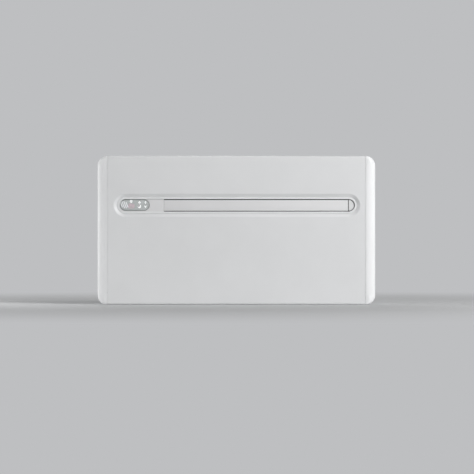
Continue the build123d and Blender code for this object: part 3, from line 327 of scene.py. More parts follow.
# %% Filter net
NET_SCALE = 1000.0 / 24.0
filter_net = finish("dark woven filter net in its frame", "#3A4148", 0.6)
tree, shader = parts_of(filter_net)
place = add(tree, "ShaderNodeTexCoord")
across, along = (add(tree, "ShaderNodeTexWave", {"Vector": place.outputs["Object"], "Scale": NET_SCALE},
                     bands_direction=way) for way in ("X", "Y"))
crossed = add(tree, "ShaderNodeMath", {0: across.outputs["Fac"], 1: along.outputs["Fac"]},
              operation="MAXIMUM")
bump = add(tree, "ShaderNodeBump", {"Height": crossed.outputs[0], "Distance": 0.12 * MM})
tree.links.new(bump.outputs[0], shader.inputs["Normal"])
tint(filter_net, crossed.outputs[0], "#22262A", "#3F474E", 0.4, 1.0)
print("filter net ready")

# %% Foam, beads and circuit board
foam = finish("dark open-cell foam", "#3A3C3F", 0.95)
beads = finish("expanded polystyrene", "#E4E4E0", 0.8)
solder_mask = finish("green solder mask with copper tracks", "#0F5A34", 0.32)
for material, size_mm, depth_mm, low, high in ((foam, 1.8, 0.5, "#26282A", "#4A4C50"),
                                               (beads, 4.0, 0.25, "#EAEAE6", "#D4D4CF")):
    tree, shader = parts_of(material)
    place = add(tree, "ShaderNodeTexCoord")
    cell = add(tree, "ShaderNodeTexVoronoi", {"Vector": place.outputs["Object"],
                                              "Scale": 1000.0 / size_mm})
    bump = add(tree, "ShaderNodeBump", {"Height": cell.outputs["Distance"], "Distance": depth_mm * MM},
               invert=material == beads)
    tree.links.new(bump.outputs[0], shader.inputs["Normal"])
    tint(material, cell.outputs["Distance"], low, high, 0.0, 0.7)
tree, shader = parts_of(solder_mask)
place = add(tree, "ShaderNodeTexCoord")
white, black = colour("#FFFFFF"), colour("#000000")
track = add(tree, "ShaderNodeTexBrick", {"Vector": place.outputs["Object"], "Scale": 120.0,
                                         "Mortar Size": 0.06, "Color1": white, "Color2": white,
                                         "Mortar": black})
tint(solder_mask, track.outputs["Fac"], "#0C4E2D", "#1C7A49", 0.0, 1.0)
print("foam, beads and board ready")

# %% [markdown]
# **Painting the solids.** Every solid is listed once below, under the finish of the real part.

# %% Dress the solids
painted = {
    powder_coat: ["front_panel"],
    white_abs: ["side_cap_left", "side_cap_right", "top_panel", "grille_left", "grille_right",
                "outlet_frame"],
    flap_abs: ["outlet_flap", "flap_end_cover"],
    galvanised: ["back_plate", "base_pan", "side_frame_left", "side_frame_right", "divider", "wall_rail",
                 "hang_hooks", "air_end_left", "air_end_right", "condenser_frame", "control_box",
                 "control_cover"],
    drawn_steel: ["flap_motor", "crossflow_motor", "radial_motor"],
    zinc_screw: ["casing_screws", "flap_shaft", "compressor_nuts"],
    fin_sheet: ["evaporator_fins", "condenser_fins"],
    copper: ["evaporator_bends", "condenser_bends", "suction_pipe", "discharge_pipe", "liquid_pipe"],
    can_paint: ["compressor"],
    grey_pp: ["drain_spigot", "inlet_duct", "exhaust_duct", "fan_scroll", "air_cover", "terminal_block"],
    black_pp: ["outlet_guard", "crossflow_rotor", "radial_wheel", "cable_gland"],
    acetal: ["flap_bush"],
    rubber: ["crossflow_bearing", "compressor_feet"],
    can_plastic: ["run_capacitor"],
    filter_net: ["filter_left", "filter_right"],
    hose_pvc: ["drain_hose"],
    foam: ["foam_mat", "duct_gaskets"],
    beads: ["rear_air_guide", "drain_tray"],
    solder_mask: ["display_board", "control_board"],
}
for material, names in painted.items():
    for name in names:
        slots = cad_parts[name].data.materials
        slots.clear()
        slots.append(material)
dressed = {name for names in painted.values() for name in names}
print("dressed", len(dressed), "left:", sorted(set(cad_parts) - dressed))

# %% [markdown]
# ## From surfaces to pieces
# Every new piece is a grid of points worked out with numpy, in millimetres, as x, depth from the
# wall, and height. `piece` joins such grids into one mesh, turns depth into -Y and millimetres
# into metres, merges doubled points, points the faces outwards, and smooths all but sharp edges.

# %% Mesh helpers
SHARP_DEGREES, WELD = 32.0, 1e-6


def piece(name, grids, material, body="case", replaces=(), outward=None):
    """One object from (points, faces) grids. outward is a direction (x, depth, height) that an open
    sheet faces, and a closed shape needs none."""
    points, faces, start = [], [], 0
    for grid, polygons in grids:
        grid = np.asarray(grid, float).reshape(-1, 3)
        points.append(grid)
        faces += [[start + i for i in polygon] for polygon in np.asarray(polygons, dtype=object).tolist()]
        start += len(grid)
    points = np.concatenate(points) * MM
    points[:, 1] *= -1
    mesh = bpy.data.meshes.new(name)
    mesh.from_pydata(points.tolist(), [], faces)
    work = bmesh.new()
    work.from_mesh(mesh)
    bmesh.ops.remove_doubles(work, verts=work.verts, dist=WELD)
    bmesh.ops.recalc_face_normals(work, faces=work.faces)
    if outward is not None:
        aim = np.array([outward[0], -outward[1], outward[2]], float)
        flow = sum(f.calc_area() * float(np.dot(aim, f.normal)) for f in work.faces)
        if flow < 0:
            bmesh.ops.reverse_faces(work, faces=work.faces)
    elif work.calc_volume(signed=True) < 0:
        bmesh.ops.reverse_faces(work, faces=work.faces)
    work.to_mesh(mesh)
    work.free()
    mesh.shade_smooth()
    mesh.set_sharp_from_angle(angle=math.radians(SHARP_DEGREES))
    mesh.materials.append(material)
    made = bpy.data.objects.new(name, mesh)
    bpy.context.scene.collection.objects.link(made)
    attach(made, body)
    if replaces:
        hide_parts(*replaces)
    print(name, len(mesh.vertices), "points", len(mesh.polygons), "faces")
    return made


def thicken(made, thickness_mm):
    """Gives an open sheet a wall behind its face."""
    wall = made.modifiers.new("wall", "SOLIDIFY")
    wall.thickness, wall.offset, wall.use_rim = thickness_mm * MM, -1.0, True


def rounded(corners, closed=False, steps=5):
    """A profile through (a, b, radius) corners. An arc leaves each corner r * tan(turn / 2) before it
    and ends as far after it, where turn is the angle between the two sides."""
    n, out = len(corners), []
    for i, (a, b, r) in enumerate(corners):
        here = np.array([a, b], float)
        if r <= 0 or (not closed and i in (0, n - 1)):
            out.append(here[None])
            continue
        before = here - np.array(corners[i - 1][:2], float)
        after = np.array(corners[(i + 1) % n][:2], float) - here
        before, after = before / np.linalg.norm(before), after / np.linalg.norm(after)
        turn = math.acos(float(np.clip(before @ after, -1, 1)))
        side = np.sign(before[0] * after[1] - before[1] * after[0])
        centre = here - before * r * math.tan(turn / 2) + side * r * np.array([-before[1], before[0]])
        first = math.atan2(-side * before[0], side * before[1])
        angle = first + side * np.linspace(0, turn, steps + 1)
        out.append(centre + r * np.stack([np.cos(angle), np.sin(angle)], axis=-1))
    return np.concatenate(out)


STRAIGHT, ARC = 48, 28


def round_ended(cx, cz, length, height, straight=STRAIGHT, arc=ARC):
    """Points round a stadium and the outward direction at each: two straights and two half circles."""
    r, half = height / 2, (length - height) / 2
    x = np.linspace(-half, half, straight, endpoint=False)
    angle = np.linspace(np.pi / 2, -np.pi / 2, arc, endpoint=False)
    top = np.stack([x, np.full(straight, r)], axis=-1)
    right = np.stack([half + r * np.cos(angle), r * np.sin(angle)], axis=-1)
    line = np.concatenate([top, right, -top, -right]) + (cx, cz)
    up = np.tile([0.0, 1.0], (straight, 1))
    bow = np.stack([np.cos(angle), np.sin(angle)], axis=-1)
    return line, np.concatenate([up, bow, -up, -bow])


def boxed(x0, x1, z0, z1, straight=STRAIGHT, arc=ARC):
    """Points round a rectangle in the same order and number as round_ended gives."""
    x, z = np.linspace(x0, x1, straight, endpoint=False), np.linspace(z1, z0, arc, endpoint=False)
    top = np.stack([x, np.full(straight, z1)], axis=-1)
    right = np.stack([np.full(arc, x1), z], axis=-1)
    bottom = np.stack([x1 + x0 - x, np.full(straight, z0)], axis=-1)
    left = np.stack([np.full(arc, x0), z0 + z1 - z], axis=-1)
    return np.concatenate([top, right, bottom, left])


def front_loops(path, outward, profile):
    """A profile of (offset, depth) carried round a path in the front plane: each point is
    path + outward * offset."""
    offset, depth = profile[:, :1, None], profile[:, 1:]
    flat = path[None] + outward[None] * offset
    return np.stack([flat[..., 0], np.broadcast_to(depth, flat.shape[:2]), flat[..., 1]], axis=-1)


def ring(loops, closed=True):
    """Faces between closed loops. The loops themselves close into a ring, or stay open at both ends."""
    return loops, quads(loops.shape[0], loops.shape[1], round_rows=closed, round_columns=True)


def capped(loops):
    """Closed loops with a flat face on the first and on the last."""
    rows, columns = loops.shape[:2]
    ends = [list(range(columns)), list(range((rows - 1) * columns, rows * columns))]
    return loops, quads(rows, columns, round_columns=True).tolist() + ends


print("mesh helpers ready")

# %% [markdown]
# ## The front panel
# The real panel is one sheet of steel. A press draws the long recess: a slope about 12 mm wide that
# leads 6 mm down to a flat rim. Top and bottom are folded back over an 8 mm radius. The recess is a
# set of loops that change from the slot's round-ended shape to the panel's rectangle.

# %% Sizes read off the solids
CASE_W, CASE_H, CASE_D = 1010.0, 540.0, 165.0
SEAM_X, SEAM = 469.0, 0.25
EDGE_R, LIP_R = 8.0, 0.75
SLOT_X, SLOT_Z, SLOT_LEN, SLOT_H = 2.0, 90.85, 856.0, 45.5
RIM_W, SLOPE_W, FACE_D = 7.0, 12.0, 159.0
FOLD_D, SHELL_T = 24.0, 0.7
panel_x = SEAM_X - SEAM
slot_path, slot_out = round_ended(SLOT_X, SLOT_Z, SLOT_LEN, SLOT_H)
print("panel half width", panel_x, "slot points", len(slot_path))


def inward_of(points):
    """Unit vectors (depth, height) from the case's skin towards a box one edge radius inside it."""
    core = np.stack([np.clip(points[..., 0], EDGE_R, CASE_D - EDGE_R),
                     np.clip(points[..., 1], EDGE_R - CASE_H / 2, CASE_H / 2 - EDGE_R)], axis=-1)
    step = core - points
    return step / np.maximum(np.linalg.norm(step, axis=-1, keepdims=True), 1e-9)


def seam_lip(section, x_start, side, closed=False):
    """A section (depth, height) carried to the seam along a quarter circle of radius LIP_R:
    x grows by t and the section sinks by r - sqrt(r * r - t * t)."""
    angle = np.linspace(0, np.pi / 2, 6)
    sink = LIP_R * (1 - np.cos(angle))
    rows = section[None] + inward_of(section)[None] * sink[:, None, None]
    x = x_start + side * LIP_R * np.sin(angle)
    points = np.concatenate([np.broadcast_to(x[:, None, None], (*rows.shape[:2], 1)), rows], axis=-1)
    return points, quads(len(x), len(section), round_columns=closed)


# %% Front panel
def reach(path, outward, low, high):
    """Where each outward direction meets a rectangle, with the nearest points moved into its corners."""
    side = np.where(outward > 0, high, low) - path
    moves = np.abs(outward) > 1e-6
    far = np.where(moves, side / np.where(moves, outward, 1.0), np.inf)
    hits = path + outward * far.min(axis=1, keepdims=True)
    for corner in np.stack(np.meshgrid(*zip(low, high)), axis=-1).reshape(-1, 2):
        hits[np.argmin(np.linalg.norm(hits - corner, axis=1))] = corner
    return hits


def make_front_panel():
    """Loops from the panel's rectangle through the slope to the rim, two folds and two seam lips."""
    high = np.array([panel_x - LIP_R, CASE_H / 2 - EDGE_R])
    low, slope_w = -high, RIM_W + SLOPE_W
    slope = rounded([(slope_w + 9, CASE_D, 0), (slope_w, CASE_D, 3.5), (RIM_W + 2, FACE_D + 0.1, 3.0),
                     (RIM_W, FACE_D - 0.1, 0.4), (RIM_W, FACE_D - 2.2, 0)], steps=6)
    edge = reach(slot_path, slot_out, low, high)
    flat = np.insert(np.stack([edge, np.clip(edge, low + 1, high - 1)]), 1, CASE_D, axis=2)
    grids = [ring(np.concatenate([flat, front_loops(slot_path, slot_out, slope)]), closed=False)]
    angle = np.linspace(0, np.pi / 2, 9)
    fold = np.stack([CASE_D - EDGE_R + EDGE_R * np.cos(angle), high[1] + EDGE_R * np.sin(angle)], axis=-1)
    end_d = CASE_D - FOLD_D
    fold = np.concatenate([fold, [[end_d + 1, CASE_H / 2], [end_d, CASE_H / 2 - 0.4]]])
    for up in (1, -1):
        x = np.sort(edge[np.isclose(edge[:, 1], up * high[1]), 0])
        rows = np.stack(np.broadcast_arrays(x[None, :], fold[:, :1], up * fold[:, 1:]), axis=-1)
        grids.append((rows, quads(*rows.shape[:2])))
    for side, x in ((1, high[0]), (-1, low[0])):
        z = np.sort(edge[np.isclose(edge[:, 0], x), 1])[-2:0:-1]
        front = np.stack([np.full(len(z), CASE_D), z], axis=-1)
        grids.append(seam_lip(np.concatenate([fold[::-1], front, fold * (1, -1)]), x, side))
    made = piece("front_sheet", grids, powder_coat, replaces=["front_panel"],
                 outward=(0, 1, 0))
    thicken(made, SHELL_T)


make_front_panel()

# %% [markdown]
# ## The side caps
# Each cap is a moulded shell. Its front edge starts as narrow as the panel's fold and widens round
# the corner into a long soft rounding down the side, which is what catches the light. The shell is a
# grid: one way round the outline seen from the front, the other way from the back over the edge.

# %% Side caps
CORNER_R, ROUND_W, ROUND_D, BACK_R = 35.0, 34.0, 24.0, 1.5


def cap_outline():
    """Outline from the top seam round both corners: points, outward directions and a blend that is
    0 at the seams and 1 down the side."""
    bow = np.linspace(np.pi / 2, 0, 25)
    centre_x, centre_z = CASE_W / 2 - CORNER_R, CASE_H / 2 - CORNER_R
    out = np.stack([np.cos(bow), np.sin(bow)], axis=-1)
    corner = out * CORNER_R + (centre_x, centre_z)
    side = np.linspace(centre_z, -centre_z, 9)[1:-1]
    straight = np.stack([np.full(len(side), CASE_W / 2), side], axis=-1)
    points = np.concatenate([corner, straight, corner[::-1] * (1, -1)])
    outward = np.concatenate([out, np.tile([1.0, 0.0], (len(side), 1)), out[::-1] * (1, -1)])
    t = 1 - bow / (np.pi / 2)
    ease = t * t * (3 - 2 * t)
    return points, outward, np.concatenate([ease, np.ones(len(side)), ease[::-1]])


def make_side_cap(name, side, node):
    """Columns run from the back wall over its small edge, up the side, over the front rounding, a
    quarter ellipse offset = w (1 - cos a), depth = D - e (1 - sin a), and on to the seam."""
    points, outward, ease = cap_outline()
    w = (EDGE_R + (ROUND_W - EDGE_R) * ease)[:, None]
    e = (EDGE_R + (ROUND_D - EDGE_R) * ease)[:, None]
    r = np.full(w.shape, BACK_R)
    a, small = np.linspace(0, np.pi / 2, 17), np.linspace(0, np.pi / 2, 5)
    offset = np.concatenate([r * (1 - np.sin(small)), w * (1 - np.cos(a))], axis=1)
    depth = np.concatenate([r * (1 - np.cos(small)), CASE_D - e * (1 - np.sin(a))], axis=1)
    flat = points[:, None] - outward[:, None] * offset[..., None]
    skin = np.stack([flat[..., 0], depth, flat[..., 1]], axis=-1)
    start_x = CASE_W / 2 - CORNER_R
    back, front = skin[:, :1].copy(), skin[:, -1:].copy()
    back[..., 0] = front[..., 0] = start_x
    skin = np.concatenate([back, skin, front], axis=1)
    edge = np.concatenate([skin[0, 1:], skin[1:-1, -1], skin[-1, :0:-1], skin[-2:0:-1, 0]])[:, 1:]
    grids = [(skin, quads(*skin.shape[:2])), seam_lip(edge, start_x, -1, closed=True)]
    grids = [(grid * (side, 1, 1), faces) for grid, faces in grids]
    thicken(piece(name, grids, white_abs, replaces=[node], outward=(side, 0.2, 0)), SHELL_T)


make_side_cap("cap_right", 1, "side_cap_right")
make_side_cap("cap_left", -1, "side_cap_left")

# %% [markdown]
# ## Back plate
# The back is one galvanised sheet. Pressed beads stiffen it, a deep channel takes the wall rail, and
# two large holes let the ducts through. The sheet is a height map: its depth follows from x and the
# height. Grid lines run along the channel and along a square round each hole, and rings of points
# lead from the square to the circle.

# %% Back plate
BACK_LOW, BACK_TOP, FLANGE_X, FLANGE_D, BACK_T = -270.0, 267.0, 465.0, 14.0, 1.2
CHANNEL_X, CHANNEL_Z, CHANNEL_D, CHANNEL_WALL = 308.0, (197.0, 258.0), 12.0, 0.6
BEAD_R, BEAD_H = 7.0, 0.75
HOLES = [(-146.5, -115.0, 104.0, 92.0), (146.5, -115.0, 104.0, 92.0), (-400.0, -242.0, 12.0, 8.3)]
BEADS = [(-430.0, 430.0, level) for level in (78.0, 118.0, 158.0)]
BEADS += [(*span, level) for span in ((-435.0, -278.0), (-20.0, 20.0), (278.0, 435.0))
          for level in (10.0, -38.0, -86.0, -134.0, -182.0)]


def grid_lines(low, high, channel, way, step):
    """Grid lines about a step apart, with pairs at both edges of the sheet and of the channel, and
    with lines at the sides of the squares round the holes."""
    stops = [low, low + CHANNEL_WALL, high - CHANNEL_WALL, high]
    stops += [channel[0] - CHANNEL_WALL, channel[0], channel[1], channel[1] + CHANNEL_WALL]
    stops += [hole[way] + side * hole[2] for hole in HOLES for side in (-1, 1)]
    stops = sorted(set(stops))
    runs = [np.linspace(a, b, max(2, round((b - a) / step) + 1))[:-1] for a, b in zip(stops, stops[1:])]
    return np.concatenate([*runs, stops[-1:]])


def pressed(x, z):
    """Depth of the back's face: that of the channel inside it, and h (1 + cos(pi s / r)) at a
    distance s from a bead's line."""
    inside = (np.abs(x) <= CHANNEL_X) & (z >= CHANNEL_Z[0]) & (z <= CHANNEL_Z[1])
    depth = np.where(inside, CHANNEL_D, 0.0)
    for x0, x1, level in BEADS:
        s = np.hypot(np.maximum(np.maximum(x0 - x, x - x1), 0), z - level)
        depth += BEAD_H * (1 + np.cos(np.pi * np.minimum(s / BEAD_R, 1.0)))
    return depth


def hole_patch(x_lines, z_lines, cx, cz, half, r):
    """Rings from the grid points on a square inwards to a circle: p + (r p / |p| - p) t."""
    x, z = (lines[np.abs(lines - c) <= half + 1e-6] - c for lines, c in ((x_lines, cx), (z_lines, cz)))
    sides = [(x[:-1], z[-1]), (x[-1], z[:0:-1]), (x[:0:-1], z[0]), (x[0], z[:-1])]
    square = np.concatenate([np.stack(np.broadcast_arrays(*side), axis=-1) for side in sides])
    circle = r * square / np.linalg.norm(square, axis=1, keepdims=True)
    flat = square + (circle - square) * np.array([0, 0.3, 0.6, 0.8, 0.97, 1])[:, None, None] + (cx, cz)
    return ring(np.insert(flat, 1, 0.0, axis=2), closed=False)


def make_back_sheet():
    """The height map without its squares, the patches in them, and the flange under the top cover."""
    x = grid_lines(-panel_x, panel_x, (-CHANNEL_X, CHANNEL_X), 0, 5.0)
    z = grid_lines(BACK_LOW, BACK_TOP, CHANNEL_Z, 1, 2.4)
    across, up = np.meshgrid(x, z)
    faces = quads(len(z), len(x))
    middle = np.stack([across.ravel(), up.ravel()], axis=-1)[faces].mean(axis=1)
    for cx, cz, half, _ in HOLES:
        keep = np.abs(middle - (cx, cz)).max(axis=1) > half
        faces, middle = faces[keep], middle[keep]
    grids = [(np.stack([across, pressed(across, up), up], axis=-1), faces)]
    grids += [hole_patch(x, z, *hole) for hole in HOLES]
    across, depth = np.meshgrid(x[np.abs(x) <= FLANGE_X], [0.0, FLANGE_D])
    flange = np.stack([across, depth, np.full(across.shape, BACK_TOP)], axis=-1)
    grids.append((flange, quads(*across.shape)))
    made = piece("back_sheet", grids, galvanised, replaces=["back_plate"],
                 outward=(0, -1, 0))
    thicken(made, BACK_T)


make_back_sheet()

# %% [markdown]
# ## Outlet frame
# The frame is one moulding on the real unit: a flat rim round the slot, a closed bridge between the
# display and the flap, and a throat behind it. Here the rim is a profile carried round the slot, the
# bridge is a ring of loops between the slot's left end and the display's opening, and the throat is
# a stack of rectangles. Small radii on the rim catch the light as thin bright lines.

# %% Rim and throat
FLAP_X0, FLAP_X1, END_GAP = -263.0, 405.2, 2.7
FRAME_D, FLANGE_FRONT, BRIDGE_D = 155.3, 157.1, 158.2
THROAT_D0, THROAT_D1, SEAL_D0, SEAL_D1 = 132.0, 157.9, 140.0, 156.8
BOX_POINTS = (12, 6)
throat_x0, throat_x1 = FLAP_X0 - 0.5, FLAP_X1 + 3.7
slot_z0, slot_z1 = SLOT_Z - SLOT_H / 2, SLOT_Z + SLOT_H / 2
# The rim's ABS is a shade whiter than the other white mouldings. This is partly its own tone and partly a
# painted highlight for the light that its edges catch.
rim_abs_painted_highlight = grain(finish("moulded white ABS, polished rim", "#F0F1F2", 0.34), 0.8, 0.004,
                "#EFF0F1", "#F1F2F3", 70.0)

profile = rounded([(6.6, FRAME_D, 0), (6.6, FACE_D, 1.1), (3.3, FACE_D + 0.35, 6.0),
                   (0.0, FACE_D, 0.4), (0.0, FRAME_D, 0)], steps=6)
piece("outlet_rim", [ring(front_loops(slot_path, slot_out, profile))], rim_abs_painted_highlight,
      replaces=["outlet_frame"])
flange = rounded([(12.7, FRAME_D, 0.2), (12.7, FLANGE_FRONT, 0.4), (6.5, FLANGE_FRONT, 0),
                  (6.5, FRAME_D, 0)], closed=True)
piece("outlet_flange", [ring(front_loops(slot_path, slot_out, flange))], white_abs)


def rectangles(x0, x1, z0, z1, profile):
    """A rectangle in the front plane, grown by each offset of a (offset, depth) profile."""
    return np.stack([np.insert(boxed(x0 - o, x1 + o, z0 - o, z1 + o, *BOX_POINTS), 1, d, axis=1)
                     for o, d in profile])


wall = rounded([(2.2, THROAT_D0, 0.3), (2.2, THROAT_D1, 0), (-0.3, THROAT_D1, 0.1),
                (-0.3, THROAT_D0, 0.3)], closed=True, steps=2)
throat = rectangles(throat_x0, throat_x1, slot_z0, slot_z1, wall)
piece("outlet_throat", [ring(throat)], dark_abs)
# A dark foam seal at the flap's right end. It is partly a real seal and partly a dark piece that paints
# the shade in the gap beside the flap's end.
seal = rectangles(FLAP_X1 + 0.4, throat_x1 - 0.5, slot_z0 + 0.4, slot_z1 - 0.4,
                  rounded([(0.0, SEAL_D0, 0), (0.0, SEAL_D1, 0.3), (-0.3, SEAL_D1, 0)], steps=2))
piece("flap_end_seal_painted_shade", [capped(seal)], foam)

# %% Bridge and display pocket
DISPLAY_X, DISPLAY_Z, DISPLAY_LEN, DISPLAY_H = -369.4, 91.9, 107.4, 40.2
POCKET_D0, POCKET_D1 = 143.3, 156.0
display_edge = round_ended(DISPLAY_X, DISPLAY_Z, DISPLAY_LEN, DISPLAY_H)


def slot_left_end():
    """The slot's left half circle, run straight to the flap's opening, in round_ended's order."""
    path, out = slot_path - (SLOT_X, SLOT_Z), slot_out.copy()
    left = SLOT_X - SLOT_LEN / 2 + SLOT_H / 2
    block = boxed(left, throat_x0, -SLOT_H / 2, SLOT_H / 2)
    last_arc = STRAIGHT + ARC + STRAIGHT
    path[:last_arc], path[last_arc:] = block[:last_arc], path[last_arc:] + (SLOT_X, 0)
    out[STRAIGHT:STRAIGHT + ARC] = (1, 0)
    return path + (0, SLOT_Z), out


edge = rounded([(0.0, FRAME_D, 0), (0.0, BRIDGE_D, 0.3), (-1.2, BRIDGE_D, 0)], steps=4)
hole = rounded([(1.1, BRIDGE_D, 0), (0.5, BRIDGE_D, 0.3), (0.5, FRAME_D, 0)], steps=4)
bridge = np.concatenate([front_loops(*slot_left_end(), edge), front_loops(*display_edge, hole)])
piece("slot_bridge", [ring(bridge)], flap_abs)
pocket = rounded([(2.2, POCKET_D0, 0), (2.2, POCKET_D1, 0), (0.5, POCKET_D1, 0), (0.5, POCKET_D0, 0)],
                 closed=True)
piece("display_pocket", [ring(front_loops(*display_edge, pocket))], white_abs)

# %% [markdown]
# ## Flap and end cover
# The flap is a long thin plate on a round barrel, which is also its hinge. The plate reaches down
# over the barrel, so the barrel doesn't show from the front. It is one section carried along X,
# drawn in at both ends by a small radius. It rides on the flap body and tilts with it.

# %% Flap
BARREL_R, AXIS_D, AXIS_Z, FLAP_LOW, FLAP_TOP = 4.4, 154.0, 75.1, 70.9, 110.1
FLAP_BACK, FLAP_FRONT = 155.6, 158.3


def flap_section(inset):
    """Outline (depth, height) of the flap, shrunk by inset: a circle about the axis that runs up
    into a plate 2.7 mm thick."""
    r = BARREL_R - inset
    back, front = FLAP_BACK + inset, FLAP_FRONT - inset
    start = math.acos((back - AXIS_D) / r)
    angle = np.linspace(start, 1.66 * np.pi, 26)
    barrel = np.stack([AXIS_D + r * np.cos(angle), AXIS_Z + r * np.sin(angle)], axis=-1)
    plate = rounded([(barrel[-1, 0] + 0.4, FLAP_LOW + inset, 0), (front, FLAP_LOW + inset, 0.6),
                     (front, FLAP_TOP - inset, 0.5), (back, FLAP_TOP - inset, 0.9), (back, 84.0, 0)],
                    steps=4)
    return np.concatenate([barrel, plate])


def end_rounding(x0, x1, radius, steps=5):
    """Places along X and how far a section is drawn in there: x = r (1 - cos a) from an end, and
    inset = r (1 - sin a)."""
    a = np.linspace(0, np.pi / 2, steps)
    x, inset = radius * (1 - np.cos(a)), radius * (1 - np.sin(a))
    return np.concatenate([x0 + x, (x1 - x)[::-1]]), np.concatenate([inset, inset[::-1]])


def carried(section_of, x0, x1, radius, steps=5):
    """A (depth, height) section carried along X between rounded ends, with flat end faces."""
    x, inset = end_rounding(x0, x1, radius, steps)
    return capped(np.stack([np.insert(section_of(i), 0, place, axis=1) for place, i in zip(x, inset)]))


def disc_section(depth, height, radius):
    """A function that gives a circle (depth, height), shrunk by an inset."""
    a = np.linspace(0, 2 * np.pi, 20, endpoint=False)
    round_it = np.stack([np.cos(a), np.sin(a)], axis=-1)
    return lambda inset: (depth, height) + (radius - inset) * round_it


def rib_section(inset):
    """One stiffening rib behind the flap, with a slanted upper end."""
    return rounded([(157.0 - inset, 76.0, 0), (157.0 - inset, 106.0, 0), (155.0, 106.0 - inset, 0.4),
                    (150.0 + inset, 96.0, 1.5), (150.0 + inset, 76.0, 0)])


grids = [carried(flap_section, FLAP_X0, FLAP_X1, 0.4)]
grids += [carried(rib_section, x - 1.0, x + 1.0, 0.3, 3)
          for x in np.linspace(FLAP_X0 + 1.2, FLAP_X1 - 1.2, 6)]
grids.append(carried(disc_section(AXIS_D, AXIS_Z, 2.5), FLAP_X0 - 3.2, FLAP_X0 + 1.0, 0.4, 3))
piece("air_flap", grids, flap_abs, body="flap", replaces=["outlet_flap"])

# %% End cover
COVER_GAP, SEAT_D = 3.5, 158.1


def d_shape(inset):
    """The slot's round end: an arc closed by a straight edge, both drawn in by inset."""
    cx, r = SLOT_X + SLOT_LEN / 2 - SLOT_H / 2, SLOT_H / 2 - COVER_GAP - inset
    left = FLAP_X1 + END_GAP + inset
    a = np.linspace(1, -1, 29) * math.acos((left - cx) / r)
    arc = np.stack([cx + r * np.cos(a), SLOT_Z + r * np.sin(a)], axis=-1)
    z = np.linspace(arc[-1, 1], arc[0, 1], 14)[1:-1]
    return np.concatenate([arc, np.stack([np.full(len(z), left), z], axis=-1)])


def d_loops(profile):
    """D shapes stacked by a (inset, depth) profile."""
    return np.stack([np.insert(d_shape(i), 1, d, axis=1) for i, d in profile])


cover_edge = rounded([(0.0, SEAT_D - 0.1, 0), (0.0, FACE_D, 0.5), (2.5, FACE_D, 0)], steps=5)
piece("end_cover", [capped(d_loops(cover_edge))], flap_abs, replaces=["flap_end_cover"])
piece("end_cover_seat", [capped(d_loops(np.array([(3.2, FRAME_D), (3.2, SEAT_D)])))], white_abs)

# %% [markdown]
# ## Top cover, grilles and filters
# Room air comes in through the top. The cover is one moulding with two framed openings. A grille
# lies in each, and its net hangs under it, so both lift out together as one cassette. The loops
# here lie in the top plane: the same rectangles as before, with height and depth changed over.

# %% Top cover
TOP_X, TOP_D, TOP_Z = 468.75, 140.75, 270.0
OPEN_D0, OPEN_D1 = 22.0, 132.0
BORDER_W, BORDER_LOW, LIP_LOW, INNER_LOW, COVER_T = 1.5, 267.05, 256.5, 255.0, 2.0
openings = {"left": (-263.0, 69.0), "right": (75.0, 407.0)}


def flat_loops(x0, x1, d0, d1, profile):
    """A rectangle in the top plane, grown by each offset of a (offset, height) profile."""
    return rectangles(x0, x1, d0, d1, profile)[..., [0, 2, 1]]


border_profile = rounded([(-BORDER_W, TOP_Z, 0), (0.0, TOP_Z, 1.0), (0.0, BORDER_LOW, 0)], steps=4)
grids = [ring(flat_loops(-TOP_X, TOP_X, 0.0, TOP_D, border_profile), closed=False)]
lip = rounded([(2.2, TOP_Z, 0), (0.0, TOP_Z, 1.1), (0.0, LIP_LOW, 0.4), (-3.0, LIP_LOW, 0.4),
               (-3.0, INNER_LOW, 0)], steps=4)
middle_x = (openings["left"][1] + openings["right"][0]) / 2
for side, (x0, x1) in openings.items():
    cell = (BORDER_W - TOP_X, middle_x) if side == "left" else (middle_x, TOP_X - BORDER_W)
    outer = np.insert(boxed(*cell, BORDER_W, TOP_D - BORDER_W, *BOX_POINTS), 2, TOP_Z, axis=1)[None]
    grids.append(ring(np.concatenate([outer, flat_loops(x0, x1, OPEN_D0, OPEN_D1, lip)]), closed=False))
thicken(piece("top_cover", grids, white_abs, replaces=["top_panel"], outward=(0, 0, 1)), COVER_T)

# %% [markdown]
# A grille is a frame, eleven bars along X and three webs across, each a section with rounded upper
# edges carried in a straight line. The bars are 3 mm wide and 8.5 mm apart.

# %% Grilles
FIRST_BAR, BAR_PITCH, BAR_COUNT, BAR_W, BAR_H = 34.5, 8.5, 11, 3.0, 4.0
WEB_PITCH, GRILLE_GAP, GRILLE_TOP, GRILLE_LOW = 82.0, 0.5, 269.7, 262.0


def bar_section(middle, width, top, height):
    """A bar's section (across, height), shrunk by an inset: round above and slightly tapered."""
    def section(inset):
        half = width / 2 - inset
        low = top - height
        return rounded([(middle - half, top - inset, 0.9), (middle + half, top - inset, 0.9),
                        (middle + half - 0.3, low, 0), (middle - half + 0.3, low, 0)],
                       closed=True, steps=3)
    return section


